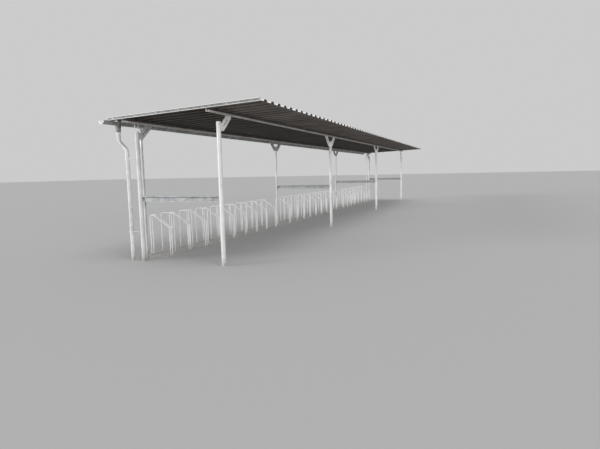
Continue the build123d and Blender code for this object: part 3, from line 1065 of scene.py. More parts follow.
class FastenerTree:
    """Geometry tree that sets a hexagon head on a washer at every point."""

    head_sides = 6
    washer_sides = 14
    width_over_radius = math.sqrt(3.0)
    seed = 3
    # Numbers of the Random Value node's sockets for plain numbers
    spin_limit = 3
    spin_result = 1

    def __init__(self) -> None:
        """Builds the tree."""
        tree, sheet, inlet, outlet = new_group("hexagon_fasteners", "GeometryNodeTree", [
            ("Geometry", "NodeSocketGeometry", None),
            ("Head Width", "NodeSocketFloat", 0.016),
            ("Head Height", "NodeSocketFloat", 0.007),
            ("Washer Width", "NodeSocketFloat", 0.022),
            ("Washer Height", "NodeSocketFloat", 0.002),
            ("Seed", "NodeSocketInt", self.seed),
            ("Head Material", "NodeSocketMaterial", None),
            ("Washer Material", "NodeSocketMaterial", None),
        ], [("Geometry", "NodeSocketGeometry")])
        head = sheet.add("GeometryNodeMeshCylinder", {
            "Vertices": self.head_sides,
            "Radius": sheet.maths("DIVIDE", inlet.outputs["Head Width"], self.width_over_radius),
            "Depth": inlet.outputs["Head Height"],
        })
        head_lift = sheet.maths("ADD", inlet.outputs["Washer Height"],
                                sheet.maths("DIVIDE", inlet.outputs["Head Height"], 2.0))
        washer = sheet.add("GeometryNodeMeshCylinder", {
            "Vertices": self.washer_sides,
            "Radius": sheet.maths("DIVIDE", inlet.outputs["Washer Width"], 2.0),
            "Depth": inlet.outputs["Washer Height"],
        })
        washer_lift = sheet.maths("DIVIDE", inlet.outputs["Washer Height"], 2.0)
        parts = sheet.add("GeometryNodeJoinGeometry")
        for solid, lift, label in ((head, head_lift, "Head Material"),
                                   (washer, washer_lift, "Washer Material")):
            offset = sheet.add("ShaderNodeCombineXYZ", {"Z": lift})
            moved = sheet.add("GeometryNodeTransform", {
                "Geometry": solid.outputs["Mesh"],
                "Translation": offset.outputs["Vector"],
            })
            painted = sheet.add("GeometryNodeSetMaterial", {
                "Geometry": moved.outputs["Geometry"],
                "Material": inlet.outputs[label],
            })
            tree.links.new(painted.outputs["Geometry"], parts.inputs["Geometry"])
        spin = sheet.add("FunctionNodeRandomValue", {
            self.spin_limit: math.tau,
            "Seed": inlet.outputs["Seed"],
        }, data_type="FLOAT")
        turn = sheet.add("ShaderNodeCombineXYZ", {"Z": spin.outputs[self.spin_result]})
        spun = sheet.add("FunctionNodeEulerToRotation", {0: turn.outputs["Vector"]})
        aimed = sheet.add("FunctionNodeAlignRotationToVector", {
            "Rotation": spun.outputs[0],
            "Vector": sheet.direction("axis"),
        }, axis="Z")
        placed = sheet.add("GeometryNodeInstanceOnPoints", {
            "Points": inlet.outputs["Geometry"],
            "Instance": parts.outputs["Geometry"],
            "Rotation": aimed.outputs[0],
        })
        solid = sheet.add("GeometryNodeRealizeInstances", {"Geometry": placed.outputs[0]})
        tree.links.new(solid.outputs[0], outlet.inputs["Geometry"])
        self.tree = tree

    def place(self, name: str, spots: list[tuple[Vector, Vector]], size: Fastener,
              metal: bpy.types.Material, under: bpy.types.Material) -> bpy.types.Object:
        """Makes one piece of fasteners.

        Args:
            name: Name of the piece.
            spots: Place and outward direction of each fastener.
            size: Sizes of the heads and the washers.
            metal: Material of the heads.
            under: Material of the washers.

        Returns:
            The piece as a plain mesh.
        """
        return run_tree(points_mesh(name, spots), self.tree, {
            "Head Width": size.head_width,
            "Head Height": size.head_height,
            "Washer Width": size.washer_width,
            "Washer Height": size.washer_height,
            "Seed": self.seed,
            "Head Material": metal,
            "Washer Material": under,
        })


class BarTree:
    """Geometry tree that turns lines into round bars with bent corners."""

    def __init__(self) -> None:
        """Builds the tree."""
        tree, sheet, inlet, outlet = new_group("bent_bars", "GeometryNodeTree", [
            ("Geometry", "NodeSocketGeometry", None),
            ("Bar Width", "NodeSocketFloat", 0.018),
            ("Bend Radius", "NodeSocketFloat", 0.06),
            ("Steps in a Bend", "NodeSocketInt", 6),
            ("Sides", "NodeSocketInt", 12),
            ("Material", "NodeSocketMaterial", None),
        ], [("Geometry", "NodeSocketGeometry")])
        curve = sheet.add("GeometryNodeMeshToCurve", {"Mesh": inlet.outputs["Geometry"]})
        bent = sheet.add("GeometryNodeFilletCurve", {
            "Curve": curve.outputs["Curve"],
            "Radius": inlet.outputs["Bend Radius"],
            "Count": inlet.outputs["Steps in a Bend"],
            "Limit Radius": True,
        }, mode="POLY")
        section = sheet.add("GeometryNodeCurvePrimitiveCircle", {
            "Resolution": inlet.outputs["Sides"],
            "Radius": sheet.maths("DIVIDE", inlet.outputs["Bar Width"], 2.0),
        })
        tube = sheet.add("GeometryNodeCurveToMesh", {
            "Curve": bent.outputs["Curve"],
            "Profile Curve": section.outputs["Curve"],
            "Fill Caps": True,
        })
        smooth = sheet.add("GeometryNodeSetShadeSmooth", {"Geometry": tube.outputs["Mesh"]})
        solid = sheet.add("GeometryNodeRealizeInstances", {"Geometry": smooth.outputs["Geometry"]})
        painted = sheet.add("GeometryNodeSetMaterial", {
            "Geometry": solid.outputs["Geometry"],
            "Material": inlet.outputs["Material"],
        })
        tree.links.new(painted.outputs["Geometry"], outlet.inputs["Geometry"])
        self.tree = tree

    def bend(self, name: str, lines: list[list[Vector]], width: float, bend_radius: float,
             material: bpy.types.Material, sides: int = 12, steps: int = 6) -> bpy.types.Object:
        """Makes one piece of bent bars.

        Args:
            name: Name of the piece.
            lines: Corner points of each bar.
            width: Width of the bar.
            bend_radius: Radius of the bends along the bar's middle.
            material: Material of the bars.
            sides: Sides of the round.
            steps: Steps in each bend.

        Returns:
            The piece as a plain mesh.
        """
        return run_tree(lines_mesh(name, lines), self.tree, {
            "Bar Width": width,
            "Bend Radius": bend_radius,
            "Steps in a Bend": steps,
            "Sides": sides,
            "Material": material,
        })


class PlateTree:
    """Geometry tree that sets a flat plate with rounded corners at every point."""

    corner_steps = 5
    merge_distance = 0.00002
    nearly_round = 0.48

    def __init__(self) -> None:
        """Builds the tree."""
        tree, sheet, inlet, outlet = new_group("rounded_plates", "GeometryNodeTree", [
            ("Geometry", "NodeSocketGeometry", None),
            ("Length", "NodeSocketFloat", 0.04),
            ("Width", "NodeSocketFloat", 0.02),
            ("Corner Radius", "NodeSocketFloat", 0.004),
            ("Thickness", "NodeSocketFloat", 0.002),
            ("Steps in a Corner", "NodeSocketInt", self.corner_steps),
            ("Material", "NodeSocketMaterial", None),
        ], [("Geometry", "NodeSocketGeometry")])
        outline = sheet.add("GeometryNodeCurvePrimitiveQuadrilateral", {
            "Width": inlet.outputs["Length"],
            "Height": inlet.outputs["Width"],
        })
        rounded = sheet.add("GeometryNodeFilletCurve", {
            "Curve": outline.outputs["Curve"],
            "Radius": inlet.outputs["Corner Radius"],
            "Count": inlet.outputs["Steps in a Corner"],
            "Limit Radius": True,
        }, mode="POLY")
        face = sheet.add("GeometryNodeFillCurve", {"Curve": rounded.outputs["Curve"]},
                         mode="NGONS")
        raised = sheet.add("GeometryNodeExtrudeMesh", {
            "Mesh": face.outputs["Mesh"],
            "Offset Scale": inlet.outputs["Thickness"],
        })
        bottom = sheet.add("GeometryNodeFlipFaces", {"Mesh": face.outputs["Mesh"]})
        both = sheet.add("GeometryNodeJoinGeometry")
        tree.links.new(raised.outputs["Mesh"], both.inputs["Geometry"])
        tree.links.new(bottom.outputs["Mesh"], both.inputs["Geometry"])
        whole = sheet.add("GeometryNodeMergeByDistance", {
            "Geometry": both.outputs["Geometry"],
            "Distance": self.merge_distance,
        })
        axis, along = sheet.direction("axis"), sheet.direction("along")
        aimed = sheet.add("FunctionNodeAxesToRotation", {
            "Primary Axis": axis,
            "Secondary Axis": along,
        }, primary_axis="Z", secondary_axis="X")
        placed = sheet.add("GeometryNodeInstanceOnPoints", {
            "Points": inlet.outputs["Geometry"],
            "Instance": whole.outputs["Geometry"],
            "Rotation": aimed.outputs[0],
        })
        solid = sheet.add("GeometryNodeRealizeInstances", {"Geometry": placed.outputs[0]})
        painted = sheet.add("GeometryNodeSetMaterial", {
            "Geometry": solid.outputs["Geometry"],
            "Material": inlet.outputs["Material"],
        })
        tree.links.new(painted.outputs["Geometry"], outlet.inputs["Geometry"])
        self.tree = tree

    def place(self, name: str, spots: list[tuple[Vector, Vector, Vector]],
              size: tuple[float, float, float], corner: float,
              material: bpy.types.Material) -> bpy.types.Object:
        """Makes one piece of plates.

        Args:
            name: Name of the piece.
            spots: Place, outward direction and lengthways direction of each plate.
            size: Length, width and thickness.
            corner: Radius of the corners.
            material: Material of the plates.

        Returns:
            The piece as a plain mesh.
        """
        return run_tree(points_mesh(name, spots, ("axis", "along")), self.tree, {
            "Length": size[0],
            "Width": size[1],
            "Thickness": size[2],
            "Corner Radius": corner,
            "Steps in a Corner": self.corner_steps,
            "Material": material,
        })


class Workshop:
    """The finishes and geometry trees that the sub-assemblies share."""

    weld_width = 0.006
    rod_sides = 8
    rod_corner = 0.001

    def __init__(self) -> None:
        """Builds the finishes and the trees."""
        self.layout = Layout.read()
        self.finishes = Finishes(Effects(), self.layout)
        self.fasteners = FastenerTree()
        self.plates = PlateTree()
        self.bars = BarTree()

    def dress(self, prefixes: tuple[str, ...], material: bpy.types.Material) -> None:
        """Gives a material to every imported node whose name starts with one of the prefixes.

        Args:
            prefixes: Starts of node names.
            material: The material.
        """
        for name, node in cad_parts.items():
            if name.startswith(prefixes):
                node.data.materials.clear()
                node.data.materials.append(material)
                LOG.info("%s: %s", name, material.name)

    def fasten(self, name: str, slot: str, spots: list[tuple[Vector, Vector]], size: Fastener,
               under: bpy.types.Material | None = None) -> None:
        """Sets one piece of fasteners.

        Args:
            name: Name of the piece.
            slot: Not used.
            spots: Place and outward direction of each fastener.
            size: Sizes of the heads and the washers.
            under: Material of the washers where they aren't metal.
        """
        metal = self.finishes.bolt
        settle(self.fasteners.place(name, spots, size, metal, under or metal))

    def rod(self, name: str, slot: str, lines: list[list[Vector]], width: float,
            material: bpy.types.Material, corner: float = rod_corner) -> None:
        """Makes one piece of thin round rods with sharp corners.

        Args:
            name: Name of the piece.
            slot: Not used.
            lines: Corner points of each rod.
            width: Width of the rods.
            material: Material of the rods.
            corner: Radius of the corners.
        """
        settle(self.bars.bend(name, lines, width, corner, material, self.rod_sides, 1))

    def weld(self, name: str, lines: list[list[Vector]]) -> None:
        """Lays one piece of weld beads along the lines."""
        self.rod(name, "galvanised_profile", lines, self.weld_width, self.finishes.weld)


# Sub-assemblies


@dataclass(frozen=True)
class ArmSize:
    """Real sizes of the pressed arms, in metres."""

    stub_length: float = 0.062
    foot_height: float = 0.117
    foot_width: float = 0.042
    reach: float = 0.362
    end_height: float = 0.040
    depth: float = 0.016


@dataclass(frozen=True)
class ArmPlace:
    """One arm: where its band starts and ends in the plane of the row."""

    side: Side
    way: int
    post_x: float
    row_y: float
    radius: float
    foot_z: float
    top_z: float
    size: ArmSize = ArmSize()

    def point(self, reach: float, height: float) -> Vector:
        """A point on the arm's face, by its reach from the post's middle."""
        return Vector((self.post_x + self.way * reach, self.row_y - self.size.depth / 2, height))

    @property
    def inner(self) -> float:
        """Reach of the band's inner edge."""
        return self.radius + self.size.stub_length

    @property
    def inner_top(self) -> float:
        """Reach at which the band's inner edge meets the beam."""
        return self.inner + self.top_z - self.foot_z - self.size.foot_height

    @property
    def middle_line(self) -> tuple[Vector, Vector]:
        """Ends of the line along the middle of the band's face.

        Returns:
            The lower and the upper end.
        """
        low = self.point(self.inner + self.size.foot_width / 2,
                         self.foot_z + self.size.foot_height / 2)
        high = self.point((self.inner_top + self.radius + self.size.reach) / 2,
                          self.top_z - self.size.end_height / 2)
        return low, high


def arm_places(layout: Layout) -> list[ArmPlace]:
    """Every arm of both rows.

    Args:
        layout: Layout of the shelter.

    Returns:
        The arms' places.
    """
    places = []
    for side in Side:
        for number in layout.numbers:
            low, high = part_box(f"{side.value}_arms_{number}")
            for way in layout.arm_sides(number):
                places.append(ArmPlace(side, way, layout.frame_xs[number - 1],
                                       layout.row_y(side), layout.post_radius(side, number),
                                       low.z, high.z))
    return places


@dataclass
class Posts:
    """Round posts of both rows with rounded caps on the front row."""

    shop: Workshop
    skirt_height: float = 0.055
    skirt_wall: float = 0.0012
    seam_width: float = 0.0022
    sides: int = 48
    seam_sides: int = 8
    dome_steps: int = 8
    shoulder: float = 0.45
    crown: float = 0.2

    def build(self) -> None:
        """Dresses the posts and turns the caps with the seams at their feet."""
        finishes = self.shop.finishes
        layout = self.shop.layout
        self.shop.dress(("front_post_",), finishes.tube)
        # The back posts take the darker copy of the tube finish: painted shade.
        self.shop.dress(("back_post_",), finishes.shaded_back_tube)
        self.shop.dress(("post_caps",), finishes.cap)
        caps = MeshDraft()
        seams = MeshDraft()
        for number, x in enumerate(layout.frame_xs, start=1):
            radius = layout.post_radius(Side.FRONT, number)
            centre = Vector((x, layout.front_y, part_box(f"front_post_{number}")[1].z))
            caps.skin([ring(centre + UP * rise, width, self.sides)
                       for width, rise in self.dome(radius)], capped=True)
            seams.turn(centre, self.seam(radius), self.sides)
        whole = caps.finish("rounded_caps", finishes.cap)
        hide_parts("post_caps")
        settle(whole)
        settle(seams.finish("cap_seams", finishes.cap))

    def seam(self, radius: float) -> list[Span]:
        """Outline of the round seam at the foot of a cap's skirt.

        Args:
            radius: Radius of the post.

        Returns:
            Radius and height of each corner.
        """
        half = self.seam_width / 2
        angles = [math.tau * step / self.seam_sides for step in range(self.seam_sides)]
        return [(radius + half + half * math.cos(angle), half * math.sin(angle) - self.skirt_height)
                for angle in angles]

    def dome(self, radius: float) -> list[Span]:
        """Outline of a cap, from the foot of its skirt to its crown.

        Args:
            radius: Radius of the post.

        Returns:
            Radius and height of each row.
        """
        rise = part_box("post_caps")[1].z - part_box("front_post_1")[1].z
        edge = radius + self.skirt_wall
        rows = [(edge, -self.skirt_height), (edge, 0.0)]
        for step in range(1, self.dome_steps):
            angle = math.pi / 2 * step / self.dome_steps
            rows.append((edge * (1 - self.shoulder + self.shoulder * math.cos(angle)),
                         rise * math.sin(angle)))
        rows.append((edge * self.crown, rise))
        return rows


@dataclass
class Rails:
    """Cross rails, coped and welded to the posts."""

    shop: Workshop
    lip: float = 0.016
    weld_gap: float = 0.001
    flange_steps: int = 8
    widest: float = 0.995

    def build(self) -> None:
        """Dresses the rails and lays a bead round each coped end."""
        layout = self.shop.layout
        self.shop.dress(("cross_rail_",), self.shop.finishes.profile)
        self.shop.weld("rail_weld_beads",
                       [self.bead(number, side) for number in layout.numbers for side in Side])

    def bead(self, number: int, side: Side) -> list[Vector]:
        """Corners of the bead where one end of a rail meets its post.

        Args:
            number: Number of the frame.
            side: Row of the post.

        Returns:
            The line round the open profile.
        """
        layout = self.shop.layout
        low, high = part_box(f"cross_rail_{number}")
        middle_x = layout.frame_xs[number - 1]
        half = (high.x - low.x) / 2
        radius = layout.post_radius(side, number) + self.weld_gap
        inward = 1 if side is Side.FRONT else -1

        def corner(shift: float, height: float) -> Vector:
            """A point of the bead.

            Args:
                shift: Its shift along X from the post's middle.
                height: Its height.

            Returns:
                The point on the post's face.
            """
            held = max(min(shift, radius * self.widest), -radius * self.widest)
            reach = math.sqrt(radius ** 2 - held ** 2)
            return Vector((middle_x + held, layout.row_y(side) + inward * reach, height))

        shifts = [-half + 2 * half * step / self.flange_steps
                  for step in range(self.flange_steps + 1)]
        around = [corner(-half, low.z + self.lip)]
        around += [corner(shift, low.z) for shift in shifts]
        around += [corner(shift, high.z) for shift in reversed(shifts)]
        around.append(corner(-half, high.z - self.lip))
        return around


@dataclass
class Structure:
    """Long beams, arms and struts with their slots, beads, bolts and nuts."""

    shop: Workshop
    weld_gap: float = 0.001
    slot_size: tuple[float, float, float] = (0.050, 0.015, 0.0006)
    slot_shares: tuple[float, ...] = (0.2, 0.42, 0.64)
    bolt: Fastener = Fastener(0.018, 0.008, 0.026, 0.0025)
    bolt_shares: tuple[float, ...] = (0.3, 0.75)
    nut: Fastener = Fastener(0.024, 0.012, 0.032, 0.003)
    plate_drop: float = 0.056
    plate_thickness: float = 0.006
    plate_gap: float = 0.002
    hanger_radius: float = 0.007
    hanger_reaches: tuple[float, ...] = (-0.020, 0.062)

    def build(self) -> None:
        """Dresses the steel profiles and sets their small parts."""
        finishes = self.shop.finishes
        # Each beam's finish carries painted shade above its lower lip.
        for name, material in finishes.beams.items():
            self.shop.dress((name,), material)
        # The front arms take the near-white finish: painted light on their faces.
        self.shop.dress(("front_arms_",), finishes.arm)
        # The back arms take the darker copy of the arm finish: painted shade.
        self.shop.dress(("back_arms_",), finishes.shaded_back_arm)
        # The struts take the paler finish: painted light.
        self.shop.dress(("back_strut_",), finishes.strut)
        arms = arm_places(self.shop.layout)
        self.weld_arms(arms)
        self.punch_arms(arms)
        self.bolt_beams(arms)
        self.hang_struts()

    def weld_arms(self, arms: list[ArmPlace]) -> None:
        """Lays beads at the stubs, at the posts and along the beams.

        Args:
            arms: Every arm.
        """
        lines = []
        for arm in arms:
            half = arm.size.depth / 2
            reach = math.sqrt(arm.radius ** 2 - half ** 2) + self.weld_gap
            for y in (arm.row_y - half, arm.row_y + half):
                foot = Vector((arm.post_x + arm.way * reach, y, arm.foot_z))
                lines.append([foot, foot + UP * arm.size.foot_height])
            lines.append([arm.point(arm.inner, arm.foot_z),
                          arm.point(arm.inner, arm.foot_z + arm.size.foot_height)])
            lines.append([arm.point(arm.inner_top, arm.top_z),
                          arm.point(arm.radius + arm.size.reach, arm.top_z)])
        self.shop.weld("arm_weld_beads", lines)

    def punch_arms(self, arms: list[ArmPlace]) -> None:
        """Marks the oblong holes along the arms' faces with thin near-black plates of painted
        shade.

        Args:
            arms: Every arm.
        """
        spots = []
        for arm in arms:
            low, high = arm.middle_line
            way = (high - low).normalized()
            for share in self.slot_shares:
                spots.append((low.lerp(high, share), -BACK, way))
        plates = self.shop.plates
        slots = plates.place("arm_slots", spots, self.slot_size,
                             self.slot_size[1] * plates.nearly_round, self.shop.finishes.hole)
        settle(slots)

    def bolt_beams(self, arms: list[ArmPlace]) -> None:
        """Sets two bolts in the beam's lower flange over each arm.

        Args:
            arms: Every arm.
        """
        layout = self.shop.layout
        spots = []
        for arm in arms:
            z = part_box(f"{arm.side.value}_beam")[0].z + layout.beam_wall
            for share in self.bolt_shares:
                reach = arm.inner_top + share * (arm.radius + arm.size.reach - arm.inner_top)
                spots.append((Vector((arm.post_x + arm.way * reach, arm.row_y, z)), UP))
        self.shop.fasten("beam_bolts", "galvanised_profile", spots, self.bolt)

    def hang_struts(self) -> None:
        """Sets nuts and washers on the two hanging bolts of each strut's plate."""
        layout = self.shop.layout
        beam_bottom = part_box("back_beam")[0].z
        plate_top = beam_bottom - self.plate_drop
        y = layout.back_y + ArmSize().depth / 2 + self.plate_gap + self.hanger_radius
        spots = []
        for number, inward in ((1, 1), (len(layout.frame_xs), -1)):
            for reach in self.hanger_reaches:
                x = layout.frame_xs[number - 1] + inward * reach
                for z, way in ((plate_top - self.plate_thickness, -UP), (plate_top, UP),
                               (beam_bottom, -UP)):
                    spots.append((Vector((x, y, z)), way))
        self.shop.fasten("strut_nuts", "galvanised_profile", spots, self.nut)


@dataclass
class Roof:
    """Ribbed sheets with their laps and screws, and the gable trims with their rivets."""

    shop: Workshop
    screw: Fastener = Fastener(0.0085, 0.0055, 0.019, 0.003)
    screw_shift: float = 0.8
    sheet_top: float = 0.001
    ribs_per_sheet: int = 4
    lap_width: float = 0.046
    lap_thickness: float = 0.0012
    lap_cut: float = 0.002
    lap_corner: float = 0.0006
    gables: tuple[tuple[str, int], ...] = (("start", -1), ("end", 1))
    rivet: Fastener = Fastener(0.0065, 0.002, 0.010, 0.001)
    rivet_pitch: float = 0.45
    first_rivet: float = 0.12
    rivet_rise: float = 0.014
    web_reach: float = 0.0015
    hem_width: float = 0.007
    hem_lap: float = 0.002
    trim_height: float = 0.048

    def build(self) -> None:
        """Dresses the roof and sets its screws, laps, rivets and hems."""
        finishes = self.shop.finishes
        self.shop.dress(("roof_sheets_",), finishes.sheet)
        self.shop.dress(("gable_trim_",), finishes.trim)
        self.screw_sheets()
        self.lap_sheets()
        self.rivet_trims()
        self.hem_trims()

    def valley_xs(self) -> list[float]:
        """Middles of the valleys between the ribs.

        Returns:
            X of each valley, from the first to the last.
        """
        low, high = self.shop.layout.roof_span
        pitch = self.shop.layout.rib_pitch
        sheets = round((high - low) / (pitch * self.ribs_per_sheet))
        count = sheets * self.ribs_per_sheet
        start = (low + high) / 2 - count * pitch / 2
        return [start + step * pitch for step in range(1, count)]

    def screw_sheets(self) -> None:
        """Sets a screw in every valley over each beam."""
        layout = self.shop.layout
        spots = []
        for y in (layout.front_y, layout.back_y):
            z = layout.sheet_underside(y) + self.sheet_top
            for x in self.valley_xs():
                spots.append((Vector((x + self.lap_width * self.screw_shift, y, z)),
                              layout.roof_normal))
        self.shop.fasten("sheet_screws", "roof_sheet", spots, self.screw,
                         self.shop.finishes.rubber)

    def lap_sheets(self) -> None:
        """Lays a narrow lap over the joint between each two sheets."""
        layout = self.shop.layout
        low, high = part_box("roof_sheets_1")
        middle_y = (low.y + high.y) / 2
        length = (high.y - low.y) / math.cos(layout.roof_slope) - self.lap_cut
        z = layout.sheet_underside(middle_y) + self.sheet_top
        joints = self.valley_xs()[self.ribs_per_sheet - 1::self.ribs_per_sheet]
        first, last = layout.roof_span
        spots = [(Vector((x, middle_y, z)), layout.roof_normal, layout.roof_fall)
                 for x in joints if first + self.lap_width < x < last - self.lap_width]
        laps = self.shop.plates.place("sheet_laps", spots,
                                      (length, self.lap_width, self.lap_thickness),
                                      self.lap_corner, self.shop.finishes.sheet)
        settle(laps)

    def rivet_trims(self) -> None:
        """Sets rivets through the web of both gable trims."""
        layout = self.shop.layout
        spots = []
        for name, way in self.gables:
            low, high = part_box(f"gable_trim_{name}")
            x = layout.roof_span[0 if way < 0 else 1] + way * self.web_reach
            count = int((high.y - low.y) / self.rivet_pitch)
            pitch = (high.y - low.y - 2 * self.first_rivet) / count
            for step in range(count + 1):
                y = low.y + self.first_rivet + step * pitch
                z = layout.sheet_underside(y) + self.rivet_rise
                spots.append((Vector((x, y, z)), ALONG * way))
        self.shop.fasten("trim_rivets", "roof_trim", spots, self.rivet)

    def hem_trims(self) -> None:
        """Rolls a hem along the outer edges of both gable trims."""
        layout = self.shop.layout
        half = self.hem_width / 2
        lines = []
        for name, way in self.gables:
            low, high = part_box(f"gable_trim_{name}")
            x = (low.x if way < 0 else high.x) - way * self.hem_lap
            top = high.z - layout.sheet_underside(low.y)
            for rise in (top - half, top - self.trim_height + half):
                ends = [Vector((x, y, layout.sheet_underside(y) + rise)) for y in (low.y, high.y)]
                fall = layout.roof_fall * self.hem_lap
                lines.append([ends[0] + fall, ends[1] - fall])
        # The real rolled hems take the arms' near-white finish: painted highlight along the trim's
        # edges.
        self.shop.rod("trim_hems", "roof_trim", lines, self.hem_width, self.shop.finishes.arm)


@dataclass
class Drainage:
    """Gutter with rims, unions and brackets; round outlet, smooth downpipe and clamps."""

    shop: Workshop
    wall: float = 0.0012
    # Gutter
    band_steps: int = 32
    rim_width: float = 0.012
    rim_wall: float = 0.0025
    union_width: float = 0.075
    union_pitch: float = 3.9
    brackets_per_bay: int = 3
    bracket_width: float = 0.030
    foot_height: float = 0.062
    foot_thickness: float = 0.004
    foot_drop: float = 0.038
    foot_bolt_rise: float = 0.021
    foot_bolt: Fastener = Fastener(0.013, 0.0055, 0.018, 0.0015)
    # Outlet
    sides: int = 48
    funnel_top_radius: float = 0.059
    funnel_foot_radius: float = 0.0375
    funnel_wrap: float = 0.030
    seat_tries: int = 12
    flange_width: float = 0.005
    flange_corner: float = 0.0001
    collar_height: float = 0.022
    collar_radius: float = 0.041
    collar_rise: float = 0.010
    collar_gap: float = 0.001
    collar_roll: tuple[Span, ...] = ((0.003, 0.007), (0.005, 0.002), (0.005, -0.006),
                                     (0.003, -0.010), (0.0, -0.011))
    # Downpipe
    pipe_radius: float = 0.035
    pipe_sides: int = 40
    bend_steps: int = 8
    bend_drop: float = 0.145
    bend_radius: float = 0.085
    sleeve_half: float = 0.026
    sleeve_sunk: float = 0.001
    sleeve_wall: float = 0.0018
    sleeve_lip: float = 0.002
    sleeve_lip_start: float = 0.020
    sleeve_above_bend: float = 0.055
    sleeve_below_bend: float = 0.1
    # Clamps
    clamp_height: float = 0.026
    clamp_thickness: float = 0.003
    lug_bolt_reach: float = 0.012
    lug_bolt: Fastener = Fastener(0.010, 0.005, 0.014, 0.001)
    rod_nut: Fastener = Fastener(0.017, 0.008, 0.026, 0.003)
    nut_sunk: float = 0.001

    def build(self) -> None:
        """Dresses the drainage and adds its round parts."""
        finishes = self.shop.finishes
        # The gutter takes the darker zinc: painted shade.
        self.shop.dress(("gutter",), finishes.gutter)
        self.shop.dress(("downpipe", "pipe_clamps", "gutter_outlet"), finishes.pipe)
        self.band_gutter()
        self.mount_brackets()
        self.turn_outlet()
        self.bend_pipe()
        self.fit_clamps()

    def band(self, draft: MeshDraft, start: float, end: float, inner: float,
             outer: float) -> None:
        """Adds a half-round band round the gutter's underside.

        Args:
            draft: Where the band goes.
            start: Lowest X.
            end: Highest X.
            inner: Inner radius.
            outer: Outer radius.
        """
        y, z = self.shop.layout.gutter_axis
        rows = []
        for step in range(self.band_steps + 1):
            angle = math.pi + math.pi * step / self.band_steps
            rows.append([Vector((x, y + radius * math.cos(angle), z + radius * math.sin(angle)))
                         for x, radius in ((start, inner), (end, inner), (end, outer),
                                           (start, outer))])
        draft.skin(rows, capped=True)

    def band_gutter(self) -> None:
        """Bands both gutter ends and every union between two lengths."""
        low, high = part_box("gutter")
        radius = self.shop.layout.gutter_radius
        rims = MeshDraft()
        for start, end in ((low.x, low.x + self.rim_width), (high.x - self.rim_width, high.x)):
            self.band(rims, start, end, radius, radius + self.rim_wall)
        settle(rims.finish("gutter_end_rims", self.shop.finishes.pipe))
        unions = MeshDraft()
        middle = low.x + self.union_pitch
        while middle < high.x - self.union_pitch / 2:
            self.band(unions, middle - self.union_width / 2, middle + self.union_width / 2,
                      radius, radius + self.wall)
            middle += self.union_pitch
        # The unions take the gutter's darker zinc, with its painted shade.
        settle(unions.finish("gutter_unions", self.shop.finishes.gutter))

    def bracket_xs(self) -> list[float]:
        """Middles of the gutter brackets.

        Returns:
            X of each bracket, from the first to the last.
        """
        low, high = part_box("gutter_brackets")
        pitch = self.shop.layout.bay_length / self.brackets_per_bay
        count = round((high.x - low.x - self.bracket_width) / pitch) + 1
        return [low.x + self.bracket_width / 2 + step * pitch for step in range(count)]

    def mount_brackets(self) -> None:
        """Sets a foot plate with two bolts at the beam's back for each bracket."""
        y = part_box("back_beam")[1].y
        z = self.shop.layout.gutter_axis[1] - self.foot_drop
        plates = []
        bolts = []
        for x in self.bracket_xs():
            plates.append((Vector((x, y, z)), BACK, UP))
            for rise in (-self.foot_bolt_rise, self.foot_bolt_rise):
                bolts.append((Vector((x, y + self.foot_thickness, z + rise)), BACK))
        # The feet take the gutter's darker zinc, with its painted shade.
        feet = self.shop.plates.place(
            "bracket_feet", plates, (self.foot_height, self.bracket_width, self.foot_thickness),
            self.foot_thickness, self.shop.finishes.gutter)
        settle(feet)
        self.shop.fasten("bracket_bolts", "gutter_zinc", bolts, self.foot_bolt)

    def turn_outlet(self) -> None:
        """Turns the round funnel, fitted to the gutter's underside, and its rolled collar."""
        low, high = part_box("gutter_outlet")
        gutter_y, rim = self.shop.layout.gutter_axis
        centre = Vector(((low.x + high.x) / 2, gutter_y, 0))
        bottom = low.z + self.collar_height
        top = high.z
        saddle = self.shop.layout.gutter_radius + self.shop.layout.clearance

        def width(height: float) -> float:
            """Radius of the funnel at a height."""
            share = (height - bottom) / (top - bottom)
            return (self.funnel_foot_radius
                    + share * (self.funnel_top_radius - self.funnel_foot_radius))

        def seat(angle: float, inset: float) -> Vector:
            """The point where the funnel's wall meets the gutter.

            Args:
                angle: Direction from the funnel's axis.
                inset: Depth behind the funnel's outer face.

            Returns:
                The point.
            """
            height = top - self.funnel_wrap
            for _ in range(self.seat_tries):
                across = (width(height) - inset) * math.sin(angle)
                height = rim - math.sqrt(max(saddle ** 2 - across ** 2, 0.0))
            radius = width(height) - inset
            return centre + Vector((radius * math.cos(angle), radius * math.sin(angle), height))

        angles = [math.tau * step / self.sides for step in range(self.sides)]
        outer_top = [seat(angle, 0.0) for angle in angles]
        inner_top = [seat(angle, self.wall) for angle in angles]
        foot = centre + UP * bottom
        outer_foot = ring(foot, self.funnel_foot_radius, self.sides)
        inner_foot = ring(foot, self.funnel_foot_radius - self.wall, self.sides)
        funnel = MeshDraft()
        funnel.skin([outer_top, outer_foot, inner_foot, inner_top], around=True)
        whole = funnel.finish("round_outlet", self.shop.finishes.funnel)
        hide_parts("gutter_outlet")
        settle(whole)
        self.shop.rod("outlet_flange", "gutter_zinc", [outer_top + outer_top[:1]],
                      self.flange_width, self.shop.finishes.pipe, self.flange_corner)
        self.turn_collar(foot)

    def turn_collar(self, foot: Vector) -> None:
        """Turns the rolled collar below the funnel.

        Args:
            foot: Middle of the funnel's foot.
        """
        outline = [(self.funnel_foot_radius - self.wall, self.collar_rise),
                   (self.funnel_foot_radius + self.collar_gap, self.collar_rise)]
        outline += [(self.collar_radius + proud, height) for proud, height in self.collar_roll]
        outline += [(self.collar_radius, -self.collar_height),
                    (self.pipe_radius, -self.collar_height)]
        collar = MeshDraft()
        collar.turn(foot, outline, self.sides)
        settle(collar.finish("outlet_collar", self.shop.finishes.collar))

